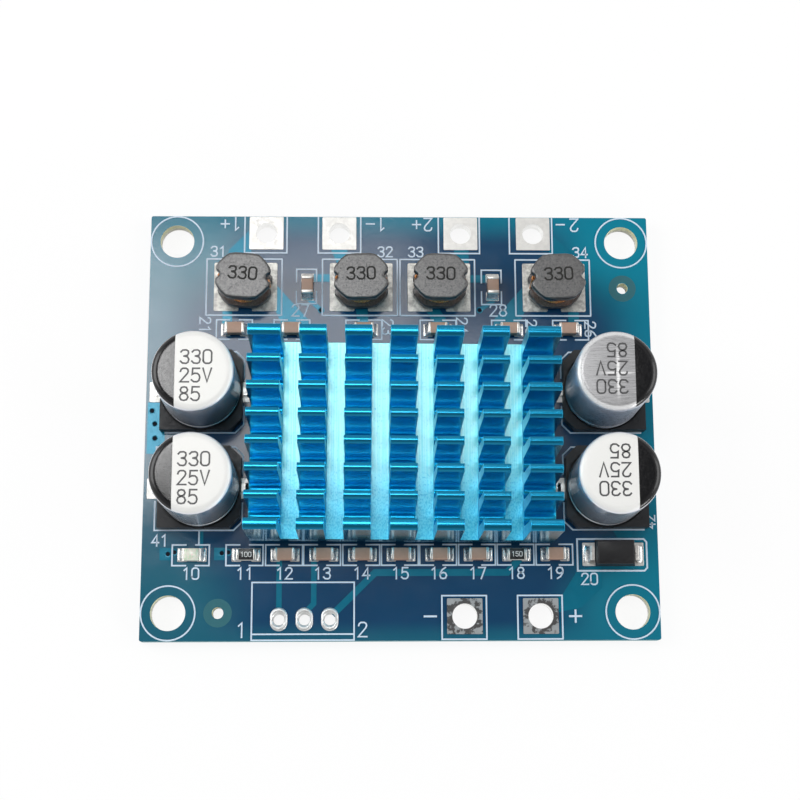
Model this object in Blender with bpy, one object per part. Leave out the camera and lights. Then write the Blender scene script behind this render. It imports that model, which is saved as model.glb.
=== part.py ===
"""Two-channel audio amplifier board with a pin-fin heatsink.

The board lies flat with its underside on z = 0 and its long edges along X.
The power and audio edge faces -Y, the loudspeaker edge faces +Y. All sizes are in metres.
"""

import math

import bpy
import bmesh

# Board
BOARD_THICKNESS = 1.6e-3
BOARD_CORNER_RADIUS = 0.5e-3
MOUNT_HOLE_DIAMETER = 3.5e-3
MOUNT_HOLE_INSET = 2.77e-3
TOOLING_HOLE_DIAMETER = 1.15e-3
TOOLING_HOLE_SPACING = 4.95e-3
PAD_THICKNESS = 0.07e-3
SOLDER_GAP = 0.05e-3
LEFT_MARGIN = 1.6e-3
RIGHT_MARGIN = 1.05e-3

# Wire pads along the two long edges
WIRE_PAD_SIZE = 3.55e-3
WIRE_PAD_PITCH = 7.62e-3
SPEAKER_PAIR_GAP = 12.7e-3
SPEAKER_HOLE_DIAMETER = 2.2e-3
POWER_HOLE_DIAMETER = 2.5e-3
SPEAKER_PAD_INSET = 0.05e-3
POWER_PAD_INSET = 0.62e-3

# Audio input pads
AUDIO_PIN_PITCH = 2.54e-3
AUDIO_HOLE_DIAMETER = 1.2e-3
AUDIO_PAD_WIDTH = 1.75e-3
AUDIO_PAD_LENGTH = 2.35e-3
AUDIO_CENTRE_X = -9.66e-3
AUDIO_PAD_INSET = 0.95e-3

# Spaces between the rows, from the front edge to the back edge
LABEL_STRIP = 3.75e-3
CHIP_TO_HEATSINK_FRONT = 0.53e-3
CHIP_TO_HEATSINK_BACK = 1.47e-3
CHIP_TO_INDUCTOR = 1.38e-3
INDUCTOR_TO_WIRE_PAD = 1.46e-3

# Heatsink, fins along X with channels cut across them
HEATSINK_LENGTH = 30.45e-3
HEATSINK_FRONT_OVERRUN = 1.42e-3
HEATSINK_BACK_OVERRUN = 0.32e-3
HEATSINK_HEIGHT = 9.55e-3
HEATSINK_BASE = 2.3e-3
HEATSINK_TURN = math.radians(-0.45)
FIN_COUNT = 8
OUTER_FIN_TIP = 1.1e-3
INNER_FIN_TIP = 0.83e-3
FIN_TAPER = 0.17e-3
FIN_CROWN = 0.12e-3
CHANNEL_COUNT = 6
CHANNEL_WIDTH = 1.8e-3
CHANNEL_FLOOR = 1.7e-3
END_COLUMN = 3.2e-3

# Amplifier chip and the adhesive that holds the heatsink
AMPLIFIER_LENGTH = 9.7e-3
AMPLIFIER_DEPTH = 4.4e-3
AMPLIFIER_HEIGHT = 1.0e-3
AMPLIFIER_STANDOFF = 0.1e-3
AMPLIFIER_LEADS_PER_SIDE = 14
LEAD_PITCH = 0.65e-3
LEAD_WIDTH = 0.24e-3
LEAD_THICKNESS = 0.15e-3
LEAD_REACH = 1.0e-3
LEAD_FOOT = 0.55e-3
ADHESIVE_THICKNESS = 0.15e-3
ADHESIVE_MARGIN = 0.3e-3

# Aluminium capacitors
CAN_RADIUS = 4.0e-3
CAN_HEIGHT = 9.6e-3
CAN_SHOULDER = 0.6e-3
CAN_BEAD_HEIGHT = 1.05e-3
CAN_BEAD_DEPTH = 0.22e-3
CAN_CLEARANCE = 0.2e-3
BASE_RIM = 0.15e-3
BASE_FLOOR = 0.8e-3
BASE_POST_HEIGHT = 0.65e-3
BASE_CHAMFER = 1.15e-3
LEFT_CAPACITOR_GAP = 1.0e-3
RIGHT_CAPACITOR_GAP = 1.3e-3
CAPACITOR_PAIR_GAP = 1.65e-3
TAB_WIDTH = 0.8e-3
TAB_THICKNESS = 0.3e-3
TAB_OVERHANG = 0.4e-3
TAB_SPACING = 3.1e-3
TAB_CLEARANCE = 0.05e-3
CAPACITOR_PAD_WIDTH = 2.1e-3
CAPACITOR_PAD_LENGTH = 3.4e-3
CAPACITOR_PAD_OVERHANG = 0.8e-3
CAPACITOR_PAD_EDGE = 0.35e-3

# Power inductors
INDUCTOR_LENGTH = 5.5e-3
INDUCTOR_DEPTH = 4.8e-3
INDUCTOR_HEIGHT = 4.3e-3
FLANGE_THICKNESS = 0.95e-3
FLANGE_BEVEL = 0.12e-3
FLANGE_FRONT_FLAT = 2.7e-3
FLANGE_SIDE_FLAT = 1.9e-3
NOTCH_DEPTH = 0.38e-3
NOTCH_WIDTH = 0.9e-3
WAIST_RADIUS = 1.3e-3
WINDING_RADIUS = 2.1e-3
WINDING_CLEARANCE = 0.06e-3
WINDING_TURNS = 4
TERMINAL_THICKNESS = 0.12e-3
TERMINAL_LENGTH = 1.7e-3
TERMINAL_LIP = 0.75e-3
TERMINAL_WIDTH = 2.0e-3
INDUCTOR_PAD_LENGTH = 2.57e-3
INDUCTOR_PAD_DEPTH = 5.2e-3
INDUCTOR_PAD_SPACING = 1.4e-3
INDUCTOR_CENTRE_GAP = 2.6e-3
INDUCTOR_TO_CHIP = 2.2e-3
CHIP_TO_OUTER_INDUCTOR = 3.05e-3
INDUCTOR_TURNS = (math.radians(-4.0), math.radians(1.5), math.radians(-1.0), math.radians(2.5))

# Small chips
CHIP_LENGTH = 2.0e-3
CHIP_WIDTH = 1.25e-3
CERAMIC_HEIGHT = 1.2e-3
RESISTOR_HEIGHT = 0.55e-3
CHIP_TERMINAL = 0.42e-3
CHIP_TERMINAL_STEP = 0.03e-3
CHIP_EDGE = 0.08e-3
CHIP_PAD_OVERHANG = 0.45e-3
CHIP_PAD_LENGTH = 0.95e-3
CHIP_PAD_WIDTH = 1.35e-3
FRONT_CHIPS = 9
BACK_CHIP_PLACES = (-17.05e-3, -11.2e-3, -3.75e-3, 3.85e-3, 11.3e-3, 17.4e-3)

# Indicator lamp
LAMP_EDGE_DISTANCE = 5.05e-3
LAMP_TO_ROW = 5.43e-3
LAMP_BOARD_HEIGHT = 0.3e-3
LAMP_LENS_HEIGHT = 0.5e-3
LAMP_LENS_LENGTH = 1.35e-3
LAMP_LENS_DRAFT = 0.1e-3

# Input diode
DIODE_LENGTH = 4.0e-3
DIODE_WIDTH = 2.65e-3
DIODE_HEIGHT = 2.1e-3
DIODE_DRAFT = 0.18e-3
DIODE_EDGE_DISTANCE = 4.6e-3
DIODE_TO_ROW = 5.88e-3
DIODE_LEAD_WIDTH = 1.45e-3
DIODE_LEAD_THICKNESS = 0.22e-3
DIODE_LEAD_REACH = 0.45e-3
DIODE_LEAD_FOOT = 1.0e-3
DIODE_PAD_OVERHANG = 0.65e-3
DIODE_PAD_LENGTH = 1.7e-3
DIODE_PAD_WIDTH = 2.35e-3

# Facet counts and cutting allowances
HOLE_STEPS = 32
SMALL_HOLE_STEPS = 16
CAN_STEPS = 36
WINDING_STEPS = 20
CORNER_STEPS = 3
VALLEY_STEPS = 6
CROWN_STEPS = 4
SHOULDER_STEPS = 3
CUT_MARGIN = 0.5e-3
MERGE_DISTANCE = 1.0e-7
SHARP_ANGLE = math.radians(35.0)

# Sizes that follow from the ones above
BASE_SIZE = 2.0 * (CAN_RADIUS + BASE_RIM)
CAPACITOR_PAIR_DEPTH = 2.0 * BASE_SIZE + CAPACITOR_PAIR_GAP
HEATSINK_DEPTH = HEATSINK_FRONT_OVERRUN + CAPACITOR_PAIR_DEPTH + HEATSINK_BACK_OVERRUN
BOARD_LENGTH = (LEFT_MARGIN + BASE_SIZE + LEFT_CAPACITOR_GAP + HEATSINK_LENGTH
                + RIGHT_CAPACITOR_GAP + BASE_SIZE + RIGHT_MARGIN)
FRONT_STACK = POWER_PAD_INSET + WIRE_PAD_SIZE + LABEL_STRIP
BACK_STACK = (CHIP_TO_HEATSINK_BACK + CHIP_WIDTH + CHIP_TO_INDUCTOR + INDUCTOR_PAD_DEPTH
              + INDUCTOR_TO_WIRE_PAD + WIRE_PAD_SIZE + SPEAKER_PAD_INSET)
BOARD_DEPTH = (FRONT_STACK + CHIP_WIDTH + CHIP_TO_HEATSINK_FRONT + HEATSINK_DEPTH + BACK_STACK)
FRONT_EDGE = -BOARD_DEPTH / 2.0
BACK_EDGE = BOARD_DEPTH / 2.0
LEFT_EDGE = -BOARD_LENGTH / 2.0
RIGHT_EDGE = BOARD_LENGTH / 2.0
PAD_TOP = BOARD_THICKNESS + PAD_THICKNESS
SEAT_HEIGHT = PAD_TOP + SOLDER_GAP

FRONT_ROW_Y = FRONT_EDGE + FRONT_STACK + CHIP_WIDTH / 2.0
HEATSINK_FRONT = FRONT_ROW_Y + CHIP_WIDTH / 2.0 + CHIP_TO_HEATSINK_FRONT
HEATSINK_Y = HEATSINK_FRONT + HEATSINK_DEPTH / 2.0
HEATSINK_X = LEFT_EDGE + LEFT_MARGIN + BASE_SIZE + LEFT_CAPACITOR_GAP + HEATSINK_LENGTH / 2.0
BACK_ROW_Y = HEATSINK_FRONT + HEATSINK_DEPTH + CHIP_TO_HEATSINK_BACK + CHIP_WIDTH / 2.0
INDUCTOR_Y = BACK_ROW_Y + CHIP_WIDTH / 2.0 + CHIP_TO_INDUCTOR + INDUCTOR_PAD_DEPTH / 2.0
SPEAKER_PAD_Y = BACK_EDGE - SPEAKER_PAD_INSET - WIRE_PAD_SIZE / 2.0
POWER_PAD_Y = FRONT_EDGE + POWER_PAD_INSET + WIRE_PAD_SIZE / 2.0
AUDIO_PAD_Y = FRONT_EDGE + AUDIO_PAD_INSET + AUDIO_PAD_LENGTH / 2.0
CAPACITOR_Y = HEATSINK_FRONT + HEATSINK_FRONT_OVERRUN + CAPACITOR_PAIR_DEPTH / 2.0
CAPACITOR_LEFT_X = LEFT_EDGE + LEFT_MARGIN + BASE_SIZE / 2.0
CAPACITOR_RIGHT_X = RIGHT_EDGE - RIGHT_MARGIN - BASE_SIZE / 2.0
CAPACITOR_HALF_PITCH = (BASE_SIZE + CAPACITOR_PAIR_GAP) / 2.0
INNER_INDUCTOR_X = (INDUCTOR_CENTRE_GAP + INDUCTOR_LENGTH) / 2.0
UPRIGHT_CHIP_X = INNER_INDUCTOR_X + INDUCTOR_LENGTH / 2.0 + INDUCTOR_TO_CHIP + CHIP_WIDTH / 2.0
OUTER_INDUCTOR_X = (UPRIGHT_CHIP_X + CHIP_WIDTH / 2.0 + CHIP_TO_OUTER_INDUCTOR
                    + INDUCTOR_LENGTH / 2.0)
LAMP_X = LEFT_EDGE + LAMP_EDGE_DISTANCE
DIODE_X = RIGHT_EDGE - DIODE_EDGE_DISTANCE
AMPLIFIER_BOTTOM = BOARD_THICKNESS + AMPLIFIER_STANDOFF
ADHESIVE_BOTTOM = AMPLIFIER_BOTTOM + AMPLIFIER_HEIGHT + SOLDER_GAP
HEATSINK_BOTTOM = ADHESIVE_BOTTOM + ADHESIVE_THICKNESS + SOLDER_GAP


def clear_scene():
    """Remove whatever the file holds, so that the model stands alone."""
    for obj in list(bpy.data.objects):
        bpy.data.objects.remove(obj, do_unlink=True)


def make_material(name, colour, roughness, metallic=0.0):
    """Principled surface with one base colour."""
    material = bpy.data.materials.new(name)
    material.use_nodes = True
    shader = material.node_tree.nodes["Principled BSDF"]
    shader.inputs["Base Color"].default_value = (*colour, 1.0)
    shader.inputs["Roughness"].default_value = roughness
    shader.inputs["Metallic"].default_value = metallic
    material.diffuse_color = (*colour, 1.0)
    return material


def finish_mesh(bm, name):
    """Turn the working mesh into mesh data with outward faces and smooth round sides."""
    bmesh.ops.remove_doubles(bm, verts=bm.verts, dist=MERGE_DISTANCE)
    bmesh.ops.recalc_face_normals(bm, faces=bm.faces)
    mesh = bpy.data.meshes.new(name)
    bm.to_mesh(mesh)
    bm.free()
    mesh.shade_smooth()
    mesh.set_sharp_from_angle(angle=SHARP_ANGLE)
    return mesh


def make_object(name, mesh, material, location=(0.0, 0.0, 0.0), parent=None):
    """Link one named piece to the scene, placed in its parent's frame."""
    if not mesh.materials:
        mesh.materials.append(material)
    obj = bpy.data.objects.new(name, mesh)
    obj.location = location
    obj.parent = parent
    bpy.context.scene.collection.objects.link(obj)
    return obj


def make_anchor(name, location, parent=None, turn=0.0):
    """Empty that carries the pieces of one component."""
    anchor = bpy.data.objects.new(name, None)
    anchor.location = location
    anchor.rotation_euler = (0.0, 0.0, turn)
    anchor.parent = parent
    bpy.context.scene.collection.objects.link(anchor)
    return anchor


def combine(target, tool, operation):
    """Join a tool to the target or cut it away, then drop the tool."""
    modifier = target.modifiers.new("combine", "BOOLEAN")
    modifier.operation = operation
    modifier.solver = "EXACT"
    modifier.object = tool
    bpy.context.view_layer.update()
    evaluated = target.evaluated_get(bpy.context.evaluated_depsgraph_get())
    mesh = bpy.data.meshes.new_from_object(evaluated)
    target.modifiers.remove(modifier)
    target.data = mesh
    bpy.data.objects.remove(tool, do_unlink=True)


def rectangle(length, depth, x=0.0, y=0.0):
    """Corners of a rectangle, anticlockwise from above."""
    half_length = length / 2.0
    half_depth = depth / 2.0
    return [(x - half_length, y - half_depth), (x + half_length, y - half_depth),
            (x + half_length, y + half_depth), (x - half_length, y + half_depth)]


def rounded_rectangle(length, depth, radius, steps, x=0.0, y=0.0):
    """Rectangle with quarter-round corners."""
    points = []
    corners = ((1, -1, -90.0), (1, 1, 0.0), (-1, 1, 90.0), (-1, -1, 180.0))
    for side_x, side_y, start in corners:
        centre_x = x + side_x * (length / 2.0 - radius)
        centre_y = y + side_y * (depth / 2.0 - radius)
        for step in range(steps + 1):
            angle = math.radians(start + 90.0 * step / steps)
            points.append((centre_x + radius * math.cos(angle),
                           centre_y + radius * math.sin(angle)))
    return points


def circle(radius, steps, x=0.0, y=0.0):
    """Points round a circle."""
    turns = [2.0 * math.pi * step / steps for step in range(steps)]
    return [(x + radius * math.cos(turn), y + radius * math.sin(turn)) for turn in turns]


def slot(width, length, steps, x=0.0, y=0.0):
    """Oval with round ends along Y."""
    radius = width / 2.0
    straight = (length - width) / 2.0
    points = []
    for step in range(steps + 1):
        angle = math.pi * step / steps
        points.append((x + radius * math.cos(angle), y + straight + radius * math.sin(angle)))
    for step in range(steps + 1):
        angle = math.pi * (1.0 + step / steps)
        points.append((x + radius * math.cos(angle), y - straight + radius * math.sin(angle)))
    return points


def add_prism(bm, outline, bottom, top):
    """Extrude a flat outline upwards into a closed prism."""
    floor = bm.faces.new([bm.verts.new((x, y, bottom)) for x, y in outline])
    raised = bmesh.ops.extrude_face_region(bm, geom=[floor], use_keep_orig=True)
    verts = [item for item in raised["geom"] if isinstance(item, bmesh.types.BMVert)]
    bmesh.ops.translate(bm, verts=verts, vec=(0.0, 0.0, top - bottom))


def add_side_profile(bm, profile, width, centre=0.0):
    """Extrude an (x, z) profile along Y into a closed bar."""
    start = centre - width / 2.0
    side = bm.faces.new([bm.verts.new((x, start, z)) for x, z in profile])
    raised = bmesh.ops.extrude_face_region(bm, geom=[side], use_keep_orig=True)
    verts = [item for item in raised["geom"] if isinstance(item, bmesh.types.BMVert)]
    bmesh.ops.translate(bm, verts=verts, vec=(0.0, width, 0.0))


def add_loft(bm, loops):
    """Skin between loops that have the same number of points, closed at both ends."""
    rings = [[bm.verts.new(point) for point in loop] for loop in loops]
    count = len(rings[0])
    for lower, upper in zip(rings, rings[1:]):
        for index in range(count):
            following = (index + 1) % count
            bm.faces.new((lower[index], lower[following], upper[following], upper[index]))
    bm.faces.new(list(reversed(rings[0])))
    bm.faces.new(rings[-1])


def add_turned(bm, profile, steps):
    """Spin an (r, z) profile about the vertical axis."""
    verts = [bm.verts.new((radius, 0.0, height)) for radius, height in profile]
    edges = [bm.edges.new(pair) for pair in zip(verts, verts[1:])]
    if profile[0][0] > 0.0:
        edges.append(bm.edges.new((verts[-1], verts[0])))
    bmesh.ops.spin(bm, geom=verts + edges, cent=(0.0, 0.0, 0.0), axis=(0.0, 0.0, 1.0),
                   angle=2.0 * math.pi, steps=steps, use_merge=True)


def offset_profile(points, gap):
    """Grow a convex (x, z) box profile by a gap on every side."""
    middle_x = sum(point[0] for point in points) / len(points)
    middle_z = sum(point[1] for point in points) / len(points)
    grown = []
    for x, z in points:
        grown.append((x + math.copysign(gap, x - middle_x), z + math.copysign(gap, z - middle_z)))
    return grown


def front_row_places():
    """Centres of the chips between the lamp and the diode."""
    first = LAMP_X + LAMP_TO_ROW
    last = DIODE_X - DIODE_TO_ROW
    pitch = (last - first) / (FRONT_CHIPS - 1)
    return [first + index * pitch for index in range(FRONT_CHIPS)]


def two_ended_pads(x, y, span, pad_length, pad_width, upright=False):
    """Outlines of the two lands under a two-ended part, with their outer ends span apart."""
    reach = (span - pad_length) / 2.0
    outlines = []
    for side in (-1.0, 1.0):
        if upright:
            outlines.append(rectangle(pad_width, pad_length, x, y + side * reach))
        else:
            outlines.append(rectangle(pad_length, pad_width, x + side * reach, y))
    return outlines


def small_pad_outlines():
    """Lands of the chips, the lamp, the diode, the capacitors and the inductors."""
    span = CHIP_LENGTH + 2.0 * CHIP_PAD_OVERHANG
    outlines = []
    for x in [LAMP_X] + front_row_places():
        outlines += two_ended_pads(x, FRONT_ROW_Y, span, CHIP_PAD_LENGTH, CHIP_PAD_WIDTH)
    for x in BACK_CHIP_PLACES:
        outlines += two_ended_pads(x, BACK_ROW_Y, span, CHIP_PAD_LENGTH, CHIP_PAD_WIDTH)
    for x in (-UPRIGHT_CHIP_X, UPRIGHT_CHIP_X):
        outlines += two_ended_pads(x, INDUCTOR_Y, span, CHIP_PAD_LENGTH, CHIP_PAD_WIDTH, True)
    diode_span = DIODE_LENGTH + 2.0 * (DIODE_LEAD_REACH + DIODE_PAD_OVERHANG)
    outlines += two_ended_pads(DIODE_X, FRONT_ROW_Y, diode_span, DIODE_PAD_LENGTH,
                               DIODE_PAD_WIDTH)
    for x, y, _turn, _name in capacitor_places():
        side = math.copysign(1.0, x)
        outer_end = side * (BOARD_LENGTH / 2.0 - CAPACITOR_PAD_EDGE)
        inner_end = x - side * (BASE_SIZE / 2.0 + CAPACITOR_PAD_OVERHANG)
        half_pad = side * CAPACITOR_PAD_LENGTH / 2.0
        for centre in (outer_end - half_pad, inner_end + half_pad):
            outlines.append(rectangle(CAPACITOR_PAD_LENGTH, CAPACITOR_PAD_WIDTH, centre, y))
    inductor_span = 2.0 * INDUCTOR_PAD_LENGTH + INDUCTOR_PAD_SPACING
    for x in inductor_places():
        outlines += two_ended_pads(x, INDUCTOR_Y, inductor_span, INDUCTOR_PAD_LENGTH,
                                   INDUCTOR_PAD_DEPTH)
    return outlines


def capacitor_places():
    """Centre, turn and name of each aluminium capacitor; the chamfers face the heatsink."""
    places = []
    for side, x, turn in (("left", CAPACITOR_LEFT_X, 0.0), ("right", CAPACITOR_RIGHT_X, math.pi)):
        for row, sign in (("rear", 1.0), ("front", -1.0)):
            y = CAPACITOR_Y + sign * CAPACITOR_HALF_PITCH
            places.append((x, y, turn, f"capacitor_{row}_{side}"))
    return places


def inductor_places():
    """Centres of the inductors from left to right."""
    return (-OUTER_INDUCTOR_X, -INNER_INDUCTOR_X, INNER_INDUCTOR_X, OUTER_INDUCTOR_X)


def speaker_hole_places():
    """Four loudspeaker wire holes, in two pairs."""
    inner = SPEAKER_PAIR_GAP / 2.0
    return (-inner - WIRE_PAD_PITCH, -inner, inner, inner + WIRE_PAD_PITCH)


def power_hole_places():
    """Two supply wire holes, in line with the right loudspeaker pair."""
    inner = SPEAKER_PAIR_GAP / 2.0
    return (inner, inner + WIRE_PAD_PITCH)


def audio_hole_places():
    """Three audio input holes."""
    return [AUDIO_CENTRE_X + index * AUDIO_PIN_PITCH for index in (-1, 0, 1)]


def mount_hole_places():
    """Centres of the four corner holes."""
    reach_x = BOARD_LENGTH / 2.0 - MOUNT_HOLE_INSET
    reach_y = BOARD_DEPTH / 2.0 - MOUNT_HOLE_INSET
    return [(x, y) for x in (-reach_x, reach_x) for y in (-reach_y, reach_y)]


def build_board(parent, material):
    """Board plate with its plated lands standing proud and its holes cut through both."""
    bm = bmesh.new()
    outline = rounded_rectangle(BOARD_LENGTH, BOARD_DEPTH, BOARD_CORNER_RADIUS, CORNER_STEPS)
    add_prism(bm, outline, 0.0, BOARD_THICKNESS)
    board = make_object("circuit_board", finish_mesh(bm, "circuit_board"), material,
                        parent=parent)

    bm = bmesh.new()
    embedded = BOARD_THICKNESS / 2.0
    for outline in small_pad_outlines():
        add_prism(bm, outline, embedded, PAD_TOP)
    for x in speaker_hole_places():
        add_prism(bm, rectangle(WIRE_PAD_SIZE, WIRE_PAD_SIZE, x, SPEAKER_PAD_Y), embedded, PAD_TOP)
    for x in power_hole_places():
        add_prism(bm, rectangle(WIRE_PAD_SIZE, WIRE_PAD_SIZE, x, POWER_PAD_Y), embedded, PAD_TOP)
    for x in audio_hole_places():
        outline = slot(AUDIO_PAD_WIDTH, AUDIO_PAD_LENGTH, SMALL_HOLE_STEPS // 2, x, AUDIO_PAD_Y)
        add_prism(bm, outline, embedded, PAD_TOP)
    lands = make_object("lands", finish_mesh(bm, "lands"), material)
    combine(board, lands, "UNION")

    bm = bmesh.new()
    below = -CUT_MARGIN
    above = PAD_TOP + CUT_MARGIN
    for x, y in mount_hole_places():
        add_prism(bm, circle(MOUNT_HOLE_DIAMETER / 2.0, HOLE_STEPS, x, y), below, above)
    corner_x = BOARD_LENGTH / 2.0 - MOUNT_HOLE_INSET
    corner_y = BOARD_DEPTH / 2.0 - MOUNT_HOLE_INSET
    tooling = ((corner_x, corner_y - TOOLING_HOLE_SPACING),
               (TOOLING_HOLE_SPACING - corner_x, -corner_y))
    for x, y in tooling:
        add_prism(bm, circle(TOOLING_HOLE_DIAMETER / 2.0, SMALL_HOLE_STEPS, x, y), below, above)
    for x in speaker_hole_places():
        add_prism(bm, circle(SPEAKER_HOLE_DIAMETER / 2.0, HOLE_STEPS, x, SPEAKER_PAD_Y),
                  below, above)
    for x in power_hole_places():
        add_prism(bm, circle(POWER_HOLE_DIAMETER / 2.0, HOLE_STEPS, x, POWER_PAD_Y),
                  below, above)
    for x in audio_hole_places():
        add_prism(bm, circle(AUDIO_HOLE_DIAMETER / 2.0, SMALL_HOLE_STEPS, x, AUDIO_PAD_Y),
                  below, above)
    drills = make_object("drills", finish_mesh(bm, "drills"), material)
    combine(board, drills, "DIFFERENCE")


def fin_comb_profile():
    """Side view of the extruded heatsink: crowned fin tips, thicker at both ends, and round
    valley floors between them."""
    tips = [OUTER_FIN_TIP] + [INNER_FIN_TIP] * (FIN_COUNT - 2) + [OUTER_FIN_TIP]
    gap = (HEATSINK_DEPTH - sum(tips)) / (FIN_COUNT - 1)
    valley_radius = gap / 2.0 - FIN_TAPER
    edge = HEATSINK_DEPTH / 2.0
    points = [(-edge, 0.0), (edge, 0.0)]
    for index, tip in enumerate(tips):
        centre = edge - tip / 2.0
        for step in range(CROWN_STEPS + 1):
            share = 1.0 - 2.0 * step / CROWN_STEPS
            points.append((centre + share * tip / 2.0,
                           HEATSINK_HEIGHT - FIN_CROWN * share * share))
        if index == FIN_COUNT - 1:
            break
        edge -= tip + gap
        middle = edge + gap / 2.0
        for step in range(VALLEY_STEPS + 1):
            angle = -math.pi * step / VALLEY_STEPS
            points.append((middle + valley_radius * math.cos(angle),
                           HEATSINK_BASE + valley_radius * (1.0 + math.sin(angle))))
    return points


def build_heatsink(parent, material):
    """Extruded comb, then channels milled across it to leave columns of pin fins."""
    bm = bmesh.new()
    end = HEATSINK_LENGTH / 2.0
    comb = bm.faces.new([bm.verts.new((-end, y, z)) for y, z in fin_comb_profile()])
    raised = bmesh.ops.extrude_face_region(bm, geom=[comb], use_keep_orig=True)
    verts = [item for item in raised["geom"] if isinstance(item, bmesh.types.BMVert)]
    bmesh.ops.translate(bm, verts=verts, vec=(HEATSINK_LENGTH, 0.0, 0.0))
    heatsink = make_object("heatsink", finish_mesh(bm, "heatsink"), material,
                           (HEATSINK_X, HEATSINK_Y, HEATSINK_BOTTOM), parent)

    bm = bmesh.new()
    first = -end + END_COLUMN + CHANNEL_WIDTH / 2.0
    pitch = -2.0 * first / (CHANNEL_COUNT - 1)
    for index in range(CHANNEL_COUNT):
        outline = rectangle(CHANNEL_WIDTH, HEATSINK_DEPTH + 2.0 * CUT_MARGIN,
                            first + index * pitch)
        add_prism(bm, outline, CHANNEL_FLOOR, HEATSINK_HEIGHT + CUT_MARGIN)
    channels = make_object("channels", finish_mesh(bm, "channels"), material,
                           tuple(heatsink.location))
    combine(heatsink, channels, "DIFFERENCE")
    heatsink.rotation_euler.z = HEATSINK_TURN


def gull_wing_profile():
    """Side view of one lead, from inside the package down to its foot, as (y, z) points."""
    inner = AMPLIFIER_DEPTH / 2.0 - LEAD_REACH / 4.0
    body_side = AMPLIFIER_DEPTH / 2.0
    toe = body_side + LEAD_REACH
    heel = toe - LEAD_FOOT
    low = SOLDER_GAP - AMPLIFIER_STANDOFF
    high = AMPLIFIER_HEIGHT / 2.0
    return [(inner, high - LEAD_THICKNESS), (heel - 2.0 * LEAD_THICKNESS, high - LEAD_THICKNESS),
            (heel - LEAD_THICKNESS, low), (toe, low), (toe, low + LEAD_THICKNESS),
            (heel, low + LEAD_THICKNESS), (heel - LEAD_THICKNESS, high), (inner, high)]


def build_amplifier(parent, plastic, adhesive_material):
    """Moulded package with gull-wing leads on its two long sides, under its adhesive."""
    anchor = make_anchor("amplifier", (HEATSINK_X, HEATSINK_Y, AMPLIFIER_BOTTOM), parent)
    draft = AMPLIFIER_STANDOFF
    middle = AMPLIFIER_HEIGHT / 2.0
    loops = []
    for inset, height in ((draft, 0.0), (0.0, middle - LEAD_THICKNESS), (0.0, middle),
                          (draft, AMPLIFIER_HEIGHT)):
        outline = rectangle(AMPLIFIER_LENGTH - 2.0 * inset, AMPLIFIER_DEPTH - 2.0 * inset)
        loops.append([(x, y, height) for x, y in outline])
    bm = bmesh.new()
    add_loft(bm, loops)
    chip = make_object("amplifier_chip", finish_mesh(bm, "amplifier_chip"), plastic, parent=anchor)

    bm = bmesh.new()
    profile = gull_wing_profile()
    first = -LEAD_PITCH * (AMPLIFIER_LEADS_PER_SIDE - 1) / 2.0
    for side in (-1.0, 1.0):
        for index in range(AMPLIFIER_LEADS_PER_SIDE):
            start = first + index * LEAD_PITCH - LEAD_WIDTH / 2.0
            face = bm.faces.new([bm.verts.new((start, side * y, z)) for y, z in profile])
            raised = bmesh.ops.extrude_face_region(bm, geom=[face], use_keep_orig=True)
            verts = [item for item in raised["geom"] if isinstance(item, bmesh.types.BMVert)]
            bmesh.ops.translate(bm, verts=verts, vec=(LEAD_WIDTH, 0.0, 0.0))
    leads = make_object("leads", finish_mesh(bm, "leads"), plastic, parent=anchor)
    combine(chip, leads, "UNION")

    bm = bmesh.new()
    outline = rounded_rectangle(AMPLIFIER_LENGTH - 2.0 * ADHESIVE_MARGIN,
                                AMPLIFIER_DEPTH - 2.0 * ADHESIVE_MARGIN,
                                ADHESIVE_MARGIN, CORNER_STEPS)
    add_prism(bm, outline, 0.0, ADHESIVE_THICKNESS)
    make_object("thermal_adhesive", finish_mesh(bm, "thermal_adhesive"), adhesive_material,
                (0.0, 0.0, ADHESIVE_BOTTOM - AMPLIFIER_BOTTOM), anchor)


def can_profile():
    """Half section of the can: rolled foot, crimped bead and round shoulder."""
    radius = CAN_RADIUS
    bead = CAN_BEAD_HEIGHT
    groove = CAN_BEAD_DEPTH
    profile = [(0.0, 0.0), (radius - 2.0 * groove, 0.0), (radius, 2.0 * groove),
               (radius, bead - groove), (radius - groove, bead), (radius, bead + groove)]
    for step in range(SHOULDER_STEPS + 1):
        angle = math.radians(90.0 * step / SHOULDER_STEPS)
        profile.append((radius - CAN_SHOULDER * (1.0 - math.cos(angle)),
                        CAN_HEIGHT - CAN_SHOULDER * (1.0 - math.sin(angle))))
    profile.append((0.0, CAN_HEIGHT))
    return profile


def base_outline():
    """Square base with two chamfered corners on its +X side."""
    half = BASE_SIZE / 2.0
    return [(-half, -half), (half - BASE_CHAMFER, -half), (half, BASE_CHAMFER - half),
            (half, half - BASE_CHAMFER), (half - BASE_CHAMFER, half), (-half, half)]


def tab_foot_profile():
    """Flat foot of a lead, from under the can to past the base, as (x, z) corners."""
    inner = TAB_SPACING / 2.0
    outer = BASE_SIZE / 2.0 + TAB_OVERHANG
    return [(inner, 0.0), (outer, 0.0), (outer, TAB_THICKNESS), (inner, TAB_THICKNESS)]


def tab_riser_profile():
    """Upright part of a lead, which reaches up to the can through the base."""
    inner = TAB_SPACING / 2.0
    return [(inner, 0.0), (inner + TAB_THICKNESS, 0.0),
            (inner + TAB_THICKNESS, BASE_FLOOR), (inner, BASE_FLOOR)]


def tab_mesh():
    """Lead bent from flat wire."""
    foot = tab_foot_profile()
    riser = tab_riser_profile()
    profile = [foot[0], foot[1], foot[2], (riser[1][0], TAB_THICKNESS), riser[2], riser[3]]
    bm = bmesh.new()
    add_side_profile(bm, profile, TAB_WIDTH)
    return finish_mesh(bm, "capacitor_tab")


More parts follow.
